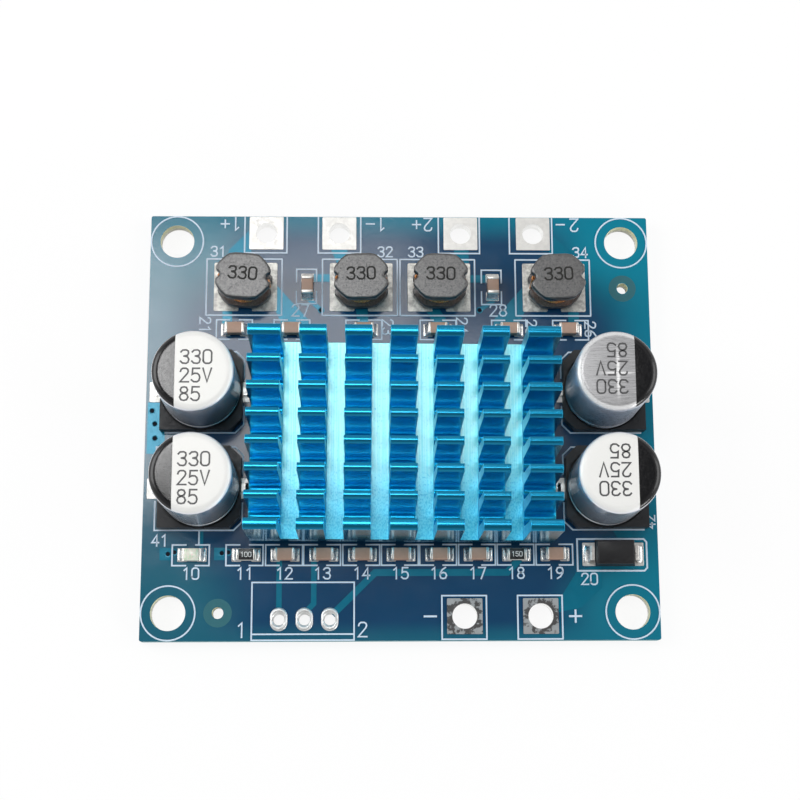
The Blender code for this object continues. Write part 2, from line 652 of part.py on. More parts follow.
def base_mesh():
    """Base plate with a recess that leaves four corner posts, and a slot for each lead."""
    bm = bmesh.new()
    add_prism(bm, base_outline(), 0.0, BASE_FLOOR + BASE_POST_HEIGHT)
    base = make_object("base_blank", finish_mesh(bm, "capacitor_base"), None)

    bm = bmesh.new()
    recess = circle(CAN_RADIUS + CAN_CLEARANCE, CAN_STEPS)
    add_prism(bm, recess, BASE_FLOOR, BASE_FLOOR + BASE_POST_HEIGHT + CUT_MARGIN)
    combine(base, make_object("recess", finish_mesh(bm, "recess"), None), "DIFFERENCE")

    width = TAB_WIDTH + 2.0 * TAB_CLEARANCE
    for profile in (tab_foot_profile(), tab_riser_profile()):
        for side in (-1.0, 1.0):
            grown = [(side * x, z) for x, z in offset_profile(profile, TAB_CLEARANCE)]
            bm = bmesh.new()
            add_side_profile(bm, grown, width)
            cutter = make_object("tab_slot", finish_mesh(bm, "tab_slot"), None)
            combine(base, cutter, "DIFFERENCE")
    mesh = base.data
    bpy.data.objects.remove(base, do_unlink=True)
    return mesh


def build_capacitors(parent, aluminium, plastic, tin):
    """Four capacitors, each a can seated between the corner posts of its base."""
    bm = bmesh.new()
    add_turned(bm, can_profile(), CAN_STEPS)
    can = finish_mesh(bm, "capacitor_can")
    base = base_mesh()
    tab = tab_mesh()
    for x, y, turn, name in capacitor_places():
        anchor = make_anchor(name, (x, y, SEAT_HEIGHT), parent, turn)
        make_object(f"{name}_can", can, aluminium, (0.0, 0.0, BASE_FLOOR + SOLDER_GAP), anchor)
        make_object(f"{name}_base", base, plastic, parent=anchor)
        make_object(f"{name}_lead_inner", tab, tin, parent=anchor)
        outer = make_object(f"{name}_lead_outer", tab, tin, parent=anchor)
        outer.rotation_euler = (0.0, 0.0, math.pi)


def flange_outline(inset=0.0):
    """Eight-sided flange with bulged corners and a wire notch in each end."""
    length = INDUCTOR_LENGTH / 2.0 - inset
    depth = INDUCTOR_DEPTH / 2.0 - inset
    flat = FLANGE_FRONT_FLAT / 2.0
    side = FLANGE_SIDE_FLAT / 2.0
    bulge_x = (length + flat) / 2.0 + (depth - side) / 16.0
    bulge_y = (depth + side) / 2.0 + (length - flat) / 16.0
    mouth = NOTCH_WIDTH / 2.0
    quarter = [(length - NOTCH_DEPTH, mouth / 3.0), (length, mouth), (length, side),
               (bulge_x, bulge_y), (flat, depth)]
    points = list(quarter)
    points += [(-x, y) for x, y in reversed(quarter)]
    points += [(-x, -y) for x, y in quarter]
    points += [(x, -y) for x, y in reversed(quarter)]
    return points


def waist_outline():
    """Round waist with one point for each point of the flange outline."""
    points = []
    for x, y in flange_outline():
        turn = math.atan2(y, x)
        points.append((WAIST_RADIUS * math.cos(turn), WAIST_RADIUS * math.sin(turn)))
    return points


def core_mesh():
    """Drum core: two flanges joined by a round waist."""
    top = INDUCTOR_HEIGHT
    lower_face = FLANGE_THICKNESS
    upper_face = top - FLANGE_THICKNESS
    sections = ((flange_outline(FLANGE_BEVEL), 0.0), (flange_outline(), FLANGE_BEVEL),
                (flange_outline(), lower_face), (waist_outline(), lower_face),
                (waist_outline(), upper_face), (flange_outline(), upper_face),
                (flange_outline(), top - FLANGE_BEVEL), (flange_outline(FLANGE_BEVEL), top))
    bm = bmesh.new()
    add_loft(bm, [[(x, y, height) for x, y in outline] for outline, height in sections])
    return finish_mesh(bm, "inductor_core")


def winding_mesh():
    """Copper coil between the flanges, with a bulge for each turn of the outer layer."""
    bottom = FLANGE_THICKNESS + WINDING_CLEARANCE
    top = INDUCTOR_HEIGHT - FLANGE_THICKNESS - WINDING_CLEARANCE
    inner = WAIST_RADIUS + WINDING_CLEARANCE
    turn_height = (top - bottom) / WINDING_TURNS
    profile = [(inner, bottom)]
    for index in range(WINDING_TURNS):
        start = bottom + index * turn_height
        profile.append((WINDING_RADIUS - turn_height / 4.0, start))
        profile.append((WINDING_RADIUS, start + turn_height / 2.0))
    profile.append((WINDING_RADIUS - turn_height / 4.0, top))
    profile.append((inner, top))
    bm = bmesh.new()
    add_turned(bm, profile, WINDING_STEPS)
    return finish_mesh(bm, "inductor_winding")


def terminal_mesh():
    """Plate under one end of the core, with a lip turned up into the notch."""
    lip_face = INDUCTOR_LENGTH / 2.0 - NOTCH_DEPTH + SOLDER_GAP
    outer = lip_face + TERMINAL_THICKNESS
    inner = INDUCTOR_LENGTH / 2.0 - TERMINAL_LENGTH
    bm = bmesh.new()
    add_side_profile(bm, [(inner, 0.0), (outer, 0.0), (outer, TERMINAL_THICKNESS),
                          (inner, TERMINAL_THICKNESS)], TERMINAL_WIDTH)
    plate = make_object("plate", finish_mesh(bm, "inductor_terminal"), None)
    bm = bmesh.new()
    add_side_profile(bm, [(lip_face, 0.0), (outer, 0.0), (outer, TERMINAL_LIP),
                          (lip_face, TERMINAL_LIP)], NOTCH_WIDTH / 4.0)
    combine(plate, make_object("lip", finish_mesh(bm, "lip"), None), "UNION")
    mesh = plate.data
    bpy.data.objects.remove(plate, do_unlink=True)
    return mesh


def build_inductors(parent, ferrite, copper, tin):
    """Four drum-core inductors, set down at slightly different angles."""
    core = core_mesh()
    winding = winding_mesh()
    terminal = terminal_mesh()
    core_height = TERMINAL_THICKNESS + SOLDER_GAP
    for index, (x, turn) in enumerate(zip(inductor_places(), INDUCTOR_TURNS), start=1):
        name = f"inductor_{index}"
        anchor = make_anchor(name, (x, INDUCTOR_Y, SEAT_HEIGHT), parent, turn)
        make_object(f"{name}_core", core, ferrite, (0.0, 0.0, core_height), anchor)
        make_object(f"{name}_winding", winding, copper, (0.0, 0.0, core_height), anchor)
        make_object(f"{name}_terminal_right", terminal, tin, parent=anchor)
        left = make_object(f"{name}_terminal_left", terminal, tin, parent=anchor)
        left.rotation_euler = (0.0, 0.0, math.pi)


def chip_section(x, width, height, inset):
    """Upright loop across a chip at x, with chamfered top edges."""
    half = width / 2.0 - inset
    low = inset
    high = height - inset
    edge = CHIP_EDGE
    return [(x, -half, low), (x, half, low), (x, half, high - edge), (x, half - edge, high),
            (x, edge - half, high), (x, -half, high - edge)]


def chip_mesh(name, height):
    """Chip with plated ends that stand a little proud of the body."""
    end = CHIP_LENGTH / 2.0
    band = end - CHIP_TERMINAL
    step = CHIP_TERMINAL_STEP
    stations = ((-end, CHIP_EDGE / 2.0), (CHIP_EDGE - end, 0.0), (-band - step, 0.0),
                (-band, step), (band, step), (band + step, 0.0), (end - CHIP_EDGE, 0.0),
                (end, CHIP_EDGE / 2.0))
    bm = bmesh.new()
    add_loft(bm, [chip_section(x, CHIP_WIDTH, height, inset) for x, inset in stations])
    return finish_mesh(name=name, bm=bm)


def build_chips(parent, ceramic, resistor_material):
    """Ceramic capacitors and resistors of one footprint, in two rows and two upright places."""
    ceramic_mesh = chip_mesh("ceramic_capacitor", CERAMIC_HEIGHT)
    resistor_mesh = chip_mesh("resistor", RESISTOR_HEIGHT)
    front = front_row_places()
    first_resistor = front[0]
    second_resistor = front[-2]
    make_object("resistor_1", resistor_mesh, resistor_material,
                (first_resistor, FRONT_ROW_Y, SEAT_HEIGHT), parent)
    make_object("resistor_2", resistor_mesh, resistor_material,
                (second_resistor, FRONT_ROW_Y, SEAT_HEIGHT), parent)
    places = [(x, FRONT_ROW_Y, 0.0) for x in front if x not in (first_resistor, second_resistor)]
    places += [(x, BACK_ROW_Y, 0.0) for x in BACK_CHIP_PLACES]
    places += [(x, INDUCTOR_Y, math.pi / 2.0) for x in (-UPRIGHT_CHIP_X, UPRIGHT_CHIP_X)]
    for index, (x, y, turn) in enumerate(places, start=1):
        chip = make_object(f"ceramic_capacitor_{index:02d}", ceramic_mesh, ceramic,
                           (x, y, SEAT_HEIGHT), parent)
        chip.rotation_euler = (0.0, 0.0, turn)


def build_lamp(parent, material):
    """Surface-mount lamp: a flat carrier with a drafted lens moulded on it."""
    carrier = CHIP_LENGTH / 2.0
    lens = LAMP_LENS_LENGTH / 2.0
    top = LAMP_BOARD_HEIGHT + LAMP_LENS_HEIGHT
    profile = [(-carrier, 0.0), (carrier, 0.0), (carrier, LAMP_BOARD_HEIGHT),
               (lens, LAMP_BOARD_HEIGHT), (lens - LAMP_LENS_DRAFT, top),
               (LAMP_LENS_DRAFT - lens, top), (-lens, LAMP_BOARD_HEIGHT),
               (-carrier, LAMP_BOARD_HEIGHT)]
    bm = bmesh.new()
    add_side_profile(bm, profile, CHIP_WIDTH)
    make_object("indicator_lamp", finish_mesh(bm, "indicator_lamp"), material,
                (LAMP_X, FRONT_ROW_Y, SEAT_HEIGHT), parent)


def build_diode(parent, plastic, tin):
    """Moulded diode with a lead folded under each end."""
    anchor = make_anchor("diode", (DIODE_X, FRONT_ROW_Y, SEAT_HEIGHT), parent)
    thickness = DIODE_LEAD_THICKNESS
    bottom = thickness + SOLDER_GAP
    middle = (bottom + DIODE_HEIGHT) / 2.0
    sections = ((DIODE_DRAFT, bottom), (0.0, middle), (DIODE_DRAFT, DIODE_HEIGHT))
    loops = []
    for inset, height in sections:
        outline = rectangle(DIODE_LENGTH - 2.0 * inset, DIODE_WIDTH - 2.0 * inset)
        loops.append([(x, y, height) for x, y in outline])
    bm = bmesh.new()
    add_loft(bm, loops)
    make_object("diode_body", finish_mesh(bm, "diode_body"), plastic, parent=anchor)

    inner_wall = DIODE_LENGTH / 2.0 + SOLDER_GAP
    outer_wall = DIODE_LENGTH / 2.0 + DIODE_LEAD_REACH
    toe = outer_wall - DIODE_LEAD_FOOT - thickness
    shelf = middle + thickness / 2.0
    fold = thickness / 2.0
    profile = [(toe, 0.0), (outer_wall - fold, 0.0), (outer_wall, fold),
               (outer_wall, shelf - fold), (outer_wall - fold, shelf), (inner_wall, shelf),
               (inner_wall, shelf - thickness), (outer_wall - thickness, shelf - thickness),
               (outer_wall - thickness, thickness), (toe, thickness)]
    bm = bmesh.new()
    add_side_profile(bm, profile, DIODE_LEAD_WIDTH)
    lead = finish_mesh(bm, "diode_lead")
    make_object("diode_lead_right", lead, tin, parent=anchor)
    left = make_object("diode_lead_left", lead, tin, parent=anchor)
    left.rotation_euler = (0.0, 0.0, math.pi)


def build_amplifier_board():
    """Put the whole assembly together."""
    clear_scene()
    solder_mask = make_material("blue_solder_mask", (0.025, 0.13, 0.24), 0.35)
    anodised = make_material("blue_anodised_aluminium", (0.01, 0.25, 0.55), 0.3, 0.9)
    aluminium = make_material("can_aluminium", (0.75, 0.75, 0.76), 0.28, 0.9)
    black_plastic = make_material("black_plastic", (0.02, 0.02, 0.022), 0.45)
    tin = make_material("bright_tin", (0.82, 0.81, 0.78), 0.25, 1.0)
    ferrite = make_material("grey_ferrite", (0.18, 0.175, 0.17), 0.7)
    copper = make_material("enamelled_copper", (0.62, 0.27, 0.12), 0.35, 0.9)
    ceramic = make_material("tan_ceramic", (0.36, 0.25, 0.19), 0.55)
    resistor = make_material("black_glaze", (0.03, 0.03, 0.032), 0.3)
    lens = make_material("pale_lens", (0.85, 0.86, 0.76), 0.15)
    adhesive = make_material("grey_adhesive", (0.55, 0.56, 0.58), 0.8)

    board = make_anchor("amplifier_board", (0.0, 0.0, 0.0))
    build_board(board, solder_mask)
    build_heatsink(board, anodised)
    build_amplifier(board, black_plastic, adhesive)
    build_capacitors(board, aluminium, black_plastic, tin)
    build_inductors(board, ferrite, copper, tin)
    build_chips(board, ceramic, resistor)
    build_lamp(board, lens)
    build_diode(board, black_plastic, tin)


build_amplifier_board()
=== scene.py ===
"""Looks of the two-channel audio amplifier board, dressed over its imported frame.

Lengths are in millimetres until a mesh is finished, where MM turns them into metres.
"""

import math
import random

import bmesh
import bpy
from mathutils import Matrix, Vector


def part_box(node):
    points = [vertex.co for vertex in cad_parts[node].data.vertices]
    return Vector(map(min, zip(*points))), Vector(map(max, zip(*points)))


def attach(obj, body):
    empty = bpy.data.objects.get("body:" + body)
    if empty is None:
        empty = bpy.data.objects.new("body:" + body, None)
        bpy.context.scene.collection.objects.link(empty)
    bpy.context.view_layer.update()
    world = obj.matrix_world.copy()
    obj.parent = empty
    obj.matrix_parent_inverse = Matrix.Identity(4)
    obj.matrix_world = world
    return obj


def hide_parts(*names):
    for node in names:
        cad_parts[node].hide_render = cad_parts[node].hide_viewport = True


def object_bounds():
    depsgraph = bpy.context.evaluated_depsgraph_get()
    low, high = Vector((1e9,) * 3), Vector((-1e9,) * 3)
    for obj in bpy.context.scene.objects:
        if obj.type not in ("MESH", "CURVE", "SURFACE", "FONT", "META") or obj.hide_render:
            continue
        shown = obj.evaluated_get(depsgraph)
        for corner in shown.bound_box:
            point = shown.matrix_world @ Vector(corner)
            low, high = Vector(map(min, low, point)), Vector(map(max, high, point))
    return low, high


MM = 0.001

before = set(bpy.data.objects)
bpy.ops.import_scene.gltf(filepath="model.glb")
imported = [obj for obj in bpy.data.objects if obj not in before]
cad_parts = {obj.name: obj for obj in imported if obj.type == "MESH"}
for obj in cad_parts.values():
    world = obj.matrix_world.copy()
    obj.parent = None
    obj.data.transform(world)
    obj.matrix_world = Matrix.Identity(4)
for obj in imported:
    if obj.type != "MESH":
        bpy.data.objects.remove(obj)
CAD_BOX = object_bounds()
RANDOM = random.Random(7)

# Heights over the board's underside
BOARD_TOP = 1.6
COPPER_RISE = 0.03
INK_RISE = 0.055
LAND_TOP = 1.67
LAND_FOOT = BOARD_TOP - 0.05

CAPACITORS = ("capacitor_rear_left", "capacitor_front_left", "capacitor_rear_right",
              "capacitor_front_right")

# Board outline and holes
BOARD_HALF_X = CAD_BOX[1][0] / MM
BOARD_HALF_Y = CAD_BOX[1][1] / MM
BOARD_CORNER = 0.2
MOUNT_INSET = 2.77
MOUNT_X = BOARD_HALF_X - MOUNT_INSET
MOUNT_Y = BOARD_HALF_Y - MOUNT_INSET
MOUNT_RADIUS = 1.75
TOOLING_RADIUS = 0.575
TOOLING_SPACING = 4.95
TOOLING_PLACES = ((MOUNT_X, MOUNT_Y - TOOLING_SPACING), (TOOLING_SPACING - MOUNT_X, -MOUNT_Y))
SPEAKER_X = (-13.97, -6.35, 6.35, 13.97)
SPEAKER_Y = BOARD_HALF_Y - 1.825
SPEAKER_RADIUS = 1.1
POWER_X = (6.35, 13.97)
POWER_Y = 2.395 - BOARD_HALF_Y
POWER_RADIUS = 1.25
WIRE_LAND = 3.55
AUDIO_X = (-12.2, -9.66, -7.12)
AUDIO_Y = 2.125 - BOARD_HALF_Y
AUDIO_RADIUS = 0.6
AUDIO_LAND = (1.75, 2.35)
VIAS = ((-23.36, -13.37), (-22.71, -13.21), (-17.98, -13.29), (-17.32, -13.22), (-8.2, 11.9),
        (8.26, 11.93), (-25.0, -1.61), (-25.35, 1.23), (-25.04, -0.12))

# Lands under the soldered parts, and how far out their middles lie from the part's own
CHIP_LAND = (0.95, 1.35)
CHIP_LAND_OUT = 0.975
DIODE_LAND = (1.7, 2.35)
DIODE_LAND_OUT = 2.25
INDUCTOR_LAND = (2.57, 5.2)
INDUCTOR_LAND_OUT = 1.985
CAN_LAND = (3.4, 2.1)
CAN_LAND_TO_EDGE = 0.35
CAN_LAND_PAST_BASE = 0.8

# Print
LINE = 0.15
RING_RADIUS = 2.77
NUMBER_HEIGHT = 1.1
CHIP_MARK = (3.7, 2.07)
CHIP_MARK_OPENING = 1.0
CAN_MARKS = (("capacitor_rear_left", 3.7, False), ("capacitor_front_left", 4.55, True),
             ("capacitor_rear_right", 3.82, False), ("capacitor_front_right", 3.82, False))
FRONT_ROW_X = (-21.08, -15.70, -11.74, -7.93, -4.00, -0.12, 3.73, 7.64, 11.54, 15.46)
FRONT_ROW_Y = -13.50
FRONT_NUMBERS_Y = -15.33
BACK_ROW_X = (-17.14, -11.21, -3.77, 3.92, 11.34, 17.70)
BACK_ROW_Y = 9.80
UPRIGHT_CHIPS = ((-9.74, 14.43), (9.52, 14.39))
INDUCTOR_MARK = (7.8, 6.05)
INDUCTOR_MARKS_X = (-16.20, -4.19, 3.89, 15.94)
INDUCTOR_MARKS_Y = 14.35
SPEAKER_MARKS = ((-16.23, -11.82), (-8.55, -4.11), (4.03, 8.34), (11.49, 15.98))
SUPPLY_MARKS = ((4.07, 8.53), (11.66, 16.13))

# Heatsink: heights are over its own underside, apart from the band where the crowns begin and
# their painted shade starts
HEATSINK_LENGTH = 30.45
HEATSINK_DEPTH = 19.99
HEATSINK_TURN = math.radians(-0.45)
HEATSINK_BASE = 2.3
FIN_TIPS = [1.1] + [0.83] * 6 + [1.1]
FIN_TAPER = 0.17
FIN_CROWN = 0.12
SHADED_CROWN_BAND = (12.0, 12.3)
CHANNEL_FLOOR = 1.7
CHANNEL_COUNT = 6
CHANNEL_WIDTH = 1.8
END_COLUMN = 3.2
VALLEY_STEPS = 14
CROWN_STEPS = 10

# Capacitor cans
CAN_SHOULDER = 0.6
CAN_SHOULDER_REACH = 0.75
CAN_BEAD = 1.05
CAN_GROOVE = 0.22
CAN_INK_DROP = 0.34
INK_CHORD = {"left": -1.7, "right": 1.75}
CAN_ROW_PITCH = 1.82
CAN_PRINT_PLACE = {"left": (0.34, -0.52), "right": (-0.52, 0.22)}
# Middle of the painted crossed glint on the brushed can's top
PAINTED_GLINT_MIDDLE = (20.88, 2.95)

# Inductors, with the turn of each on its lands in degrees
FLANGE = 0.95
NOTCH_DEPTH = 0.38
NOTCH_WIDTH = 0.9
WAIST = 1.3
CORE_HALF = (2.75, 2.4)
CORE_FLAT = (2.7, 1.9)
WIRE_RADIUS = 0.15
WIRE_SIDES = 10
COIL_RADIUS = 1.97
INDUCTOR_TURNS = (-4.0, 1.5, -1.0, 2.5)

# Solder fillets: how far each runs out from its part
CHIP_FILLET = 0.45
DIODE_FILLET = 0.62
LEAD_FILLET = 0.42
FILLET_STEPS = 8

# Camera fitted to the photograph, and the floor's glow where it is seen as background
IMAGE_PIXELS = 800.0
FOCAL_PIXELS = 1656.9
CENTRE_PIXEL = (413.6, 372.2)
CAMERA_ANGLES = (12.58, 7.63, -7.74)
CAMERA_AIM = (1.36, 5.32)
CAMERA_DISTANCE = 170.73
FLOOR_GLOW = 0.885


# Materials


class Graph:
    """Node graph of one material, with short calls for the nodes used here."""

    def __init__(self, name):
        self.material = bpy.data.materials.new(name)
        self.material.use_nodes = True
        self.nodes = self.material.node_tree.nodes
        self.links = self.material.node_tree.links
        self.shader = self.nodes["Principled BSDF"]
        self.position = self.add("ShaderNodeTexCoord").outputs["Object"]

    def add(self, kind, **settings):
        node = self.nodes.new(kind)
        for key, value in settings.items():
            setattr(node, key, value)
        return node

    def feed(self, socket, value):
        if isinstance(value, bpy.types.NodeSocket):
            self.links.new(value, socket)
        elif isinstance(value, tuple) and len(value) == 3 and socket.type == "RGBA":
            socket.default_value = (*value, 1.0)
        else:
            socket.default_value = value

    def math(self, operation, first, second=0.0):
        node = self.add("ShaderNodeMath", operation=operation)
        for socket, value in zip(node.inputs, (first, second)):
            self.feed(socket, value)
        return node.outputs[0]

    def distance(self, across, along):
        """Length of a flat vector from its two parts."""
        squares = [self.math("MULTIPLY", part, part) for part in (across, along)]
        return self.math("SQRT", self.math("ADD", *squares))

    def stretch(self, scale):
        node = self.add("ShaderNodeMapping")
        self.feed(node.inputs["Vector"], self.position)
        node.inputs["Scale"].default_value = scale
        return node.outputs[0]

    def noise(self, feature, detail=3.0, roughness=0.55, scale=(1.0, 1.0, 1.0)):
        """Noise whose lumps are about one feature (mm) across, stretched by scale."""
        node = self.add("ShaderNodeTexNoise")
        self.feed(node.inputs["Vector"], self.stretch(scale))
        node.inputs["Scale"].default_value = 1.0 / (feature * MM)
        node.inputs["Detail"].default_value = detail
        node.inputs["Roughness"].default_value = roughness
        return node.outputs["Fac"]

    def span(self, value, low, high, to_low=0.0, to_high=1.0):
        """Smooth step of value from low..high to to_low..to_high."""
        node = self.add("ShaderNodeMapRange", interpolation_type="SMOOTHSTEP")
        for socket, given in zip(node.inputs, (value, low, high, to_low, to_high)):
            self.feed(socket, given)
        return node.outputs["Result"]

    def mix(self, share, first, second):
        node = self.add("ShaderNodeMix", data_type="RGBA")
        self.feed(node.inputs["Factor"], share)
        self.feed(node.inputs[6], first)
        self.feed(node.inputs[7], second)
        return node.outputs[2]

    def axes(self):
        """X, Y and Z in millimetres."""
        node = self.add("ShaderNodeSeparateXYZ")
        self.feed(node.inputs[0], self.position)
        return [self.math("DIVIDE", output, MM) for output in node.outputs]

    def facing_up(self):
        node = self.add("ShaderNodeSeparateXYZ")
        self.feed(node.inputs[0], self.add("ShaderNodeNewGeometry").outputs["Normal"])
        return node.outputs["Z"]

    def bump(self, height, depth, below=None):
        """Bump of the given depth in millimetres, over another one if given."""
        node = self.add("ShaderNodeBump")
        node.inputs["Distance"].default_value = depth * MM
        self.feed(node.inputs["Height"], height)
        if below is not None:
            self.feed(node.inputs["Normal"], below)
        return node.outputs["Normal"]

    def finish(self, colour, roughness, metallic=0.0, normal=None, ior=1.5, coat=0.0,
               coat_roughness=0.1, coat_ior=1.5):
        """Feed the shader and give its material; metallic is None where a node feeds it."""
        self.feed(self.shader.inputs["Base Color"], colour)
        self.feed(self.shader.inputs["Roughness"], roughness)
        if metallic is not None:
            self.shader.inputs["Metallic"].default_value = metallic
        self.shader.inputs["IOR"].default_value = ior
        self.shader.inputs["Coat Weight"].default_value = coat
        self.shader.inputs["Coat Roughness"].default_value = coat_roughness
        self.shader.inputs["Coat IOR"].default_value = coat_ior
        if normal is not None:
            self.feed(self.shader.inputs["Normal"], normal)
        return self.material


def mask_material():
    """Glossy blue mask: teal where light comes through the bare laminate, darker inside."""
    g = Graph("solder_mask")
    x, y, _z = g.axes()
    far_x = g.math("ABSOLUTE", x)
    far_y = g.math("ABSOLUTE", y)
    to_side = g.math("SUBTRACT", BOARD_HALF_X, far_x)
    to_back = g.math("MULTIPLY", g.math("SUBTRACT", BOARD_HALF_Y, y), 2.0)
    to_front = g.math("MULTIPLY", g.math("ADD", y, BOARD_HALF_Y), 3.0)
    to_edge = g.math("MINIMUM", to_side, g.math("MINIMUM", to_back, to_front))
    inside_rim = g.span(to_edge, 0.0, 6.5, 0.2, 1.0)
    corner_x = g.math("SUBTRACT", far_x, MOUNT_X)
    corner_y = g.math("SUBTRACT", far_y, MOUNT_Y)
    beyond_hole = g.span(g.distance(corner_x, corner_y), 2.8, 9.5)
    covered = g.math("MULTIPLY", inside_rim, beyond_hole)
    tint = g.mix(g.noise(6.0), (0.004, 0.044, 0.116), (0.006, 0.064, 0.150))
    back_right = g.span(g.math("ADD", x, y), -30.0, 30.0)
    see_through = g.mix(back_right, (0.012, 0.125, 0.190), (0.001, 0.220, 0.325))
    colour = g.mix(covered, see_through, tint)
    weave = g.noise(0.35, 2.0, 0.5)
    roughness = g.span(g.noise(2.5), 0.2, 0.8, 0.10, 0.15)
    return g.finish(colour, roughness, normal=g.bump(weave, 0.002), ior=1.56)


def copper_mask_material():
    """The same mask where it lies over copper, lighter and a little uneven."""
    g = Graph("mask_over_copper")
    colour = g.mix(g.noise(1.2), (0.004, 0.160, 0.260), (0.008, 0.205, 0.310))
    return g.finish(colour, g.span(g.noise(0.8), 0.2, 0.8, 0.11, 0.18), 0.2,
                    g.bump(g.noise(0.3), 0.003), ior=1.42)


def laminate_material(name, pale, deep, foot):
    """Cut edge of glass-fibre laminate with its layers, blending into another tone below; in the
    bore that tone is painted light glowing up from the floor.
    """
    g = Graph(name)
    _x, _y, z = g.axes()
    layers = g.noise(0.18, 2.0, 0.5, (0.25, 0.25, 1.0))
    colour = g.mix(g.span(z, 0.2, 1.1), foot, g.mix(layers, deep, pale))
    return g.finish(colour, 0.55, normal=g.bump(g.noise(0.12), 0.02))


def tin_material(name, tone, rough, grain, depth, metallic=1.0, shade=0.84):
    """Solder or tin plate with a grained, faintly rippled surface."""
    g = Graph(name)
    dull = tuple(channel * shade for channel in tone)
    colour = g.mix(g.span(g.noise(grain * 3.0, 4.0), 0.3, 0.7), tone, dull)
    roughness = g.span(g.noise(grain * 2.0, 4.0, 0.65), 0.3, 0.75, rough, rough + 0.18)
    ripple = g.bump(g.noise(grain * 6.0, 2.0), depth * 4.0)
    return g.finish(colour, roughness, metallic,
                    g.bump(g.noise(grain, 3.0), depth, ripple))


def worn_land_material():
    """Dull tin with dark, crusted flux round the two supply holes."""
    g = Graph("worn_land")
    x, y, _z = g.axes()
    middle = (POWER_X[0] + POWER_X[1]) / 2.0
    off_x = g.math("SUBTRACT", g.math("ABSOLUTE", g.math("SUBTRACT", x, middle)),
                   POWER_X[1] - middle)
    off_y = g.math("SUBTRACT", y, POWER_Y)
    round_hole = g.distance(off_x, off_y)
    crust = g.math("ADD", g.noise(0.7, 5.0, 0.7), g.span(round_hole, 1.2, 2.4, 0.17, 0.0))
    grain = g.noise(0.25, 4.0, 0.7)
    tin = g.mix(grain, (0.33, 0.35, 0.36), (0.50, 0.52, 0.53))
    colour = g.mix(g.span(crust, 0.57, 0.64), tin, (0.100, 0.098, 0.098))
    return g.finish(colour, g.span(grain, 0.3, 0.7, 0.36, 0.55), 0.8,
                    g.bump(g.math("ADD", crust, grain), 0.02))


def anodised_material():
    """Blue anodised extrusion with faint die lines along its length, and a darker teal painted as
    shade on the crowns.
    """
    g = Graph("anodised_blue")
    _x, _y, z = g.axes()
    lines = g.noise(0.16, 1.0, 0.4, (0.0003, 1.0, 1.0))
    patches = g.noise(3.0, 3.0, 0.5, (0.4, 1.0, 1.0))
    walls = g.mix(patches, (0.012, 0.500, 0.780), (0.018, 0.580, 0.840))
    # Painted shade: the crowns are a darker copy of the same anodised blue as the walls
    shaded_crowns = g.mix(patches, (0.004, 0.330, 0.600), (0.008, 0.400, 0.700))
    colour = g.mix(g.span(z, SHADED_CROWN_BAND[0], SHADED_CROWN_BAND[1]), walls, shaded_crowns)
    return g.finish(colour, g.span(lines, 0.3, 0.7, 0.20, 0.25), 0.97, g.bump(lines, 0.0002),
                    coat=0.55, coat_roughness=0.10)


def milled_material(name, pale, deep, metallic, ior, coat):
    """Milled aluminium under the anodising: cutter lines along Y and torn patches, with painted
    shade that turns it bluer toward the front and gathers the patches there.
    """
    g = Graph(name)
    _x, y, _z = g.axes()
    cutter = g.noise(0.07, 2.0, 0.6, (1.0, 0.004, 0.2))
    tears = g.noise(0.15, 3.0, 0.7, (1.0, 0.6, 1.0))
    # Tear marks, made more frequent toward the front as painted shade
    torn_and_front_shade = g.math("ADD", tears, g.span(y, -10.5, -3.0, 0.10, -0.02))
    colour = g.mix(g.span(cutter, 0.38, 0.62), pale, deep)
    # Painted shade: bluer toward the front, where less overhead light is reflected
    colour = g.mix(g.span(y, -9.0, -2.0, 0.8, 0.0), colour, (0.045, 0.640, 0.900))
    colour = g.mix(g.span(torn_and_front_shade, 0.56, 0.68), colour, (0.020, 0.500, 0.780))
    height = g.math("ADD", cutter, g.math("MULTIPLY", torn_and_front_shade, 0.4))
    return g.finish(colour, g.span(tears, 0.3, 0.7, 0.28, 0.38), metallic,
                    g.bump(height, 0.003), ior, coat, 0.14, 1.85)


def satin_can_material():
    """Satin aluminium: a pale, even top that turns into drawn sides, whose darker, bluer tone is
    painted shade and reflection of the blue parts around.
    """
    g = Graph("can_satin")
    up = g.span(g.facing_up(), 0.22, 1.0)
    drawn = g.noise(0.12, 3.0, 0.6, (1.0, 1.0, 0.06))
    # Painted shade and reflection: the sides are a darker, bluer copy of the top's metal
    side = g.mix(drawn, (0.66, 0.69, 0.76), (0.78, 0.80, 0.86))
    flat = g.mix(g.noise(0.2, 4.0, 0.6), (0.90, 0.90, 0.87), (0.93, 0.93, 0.91))
    g.feed(g.shader.inputs["Metallic"], g.span(up, 0.0, 1.0, 0.78, 0.16))
    return g.finish(g.mix(up, side, flat), g.span(up, 0.0, 1.0, 0.25, 0.46), None,
                    g.bump(drawn, 0.0015))


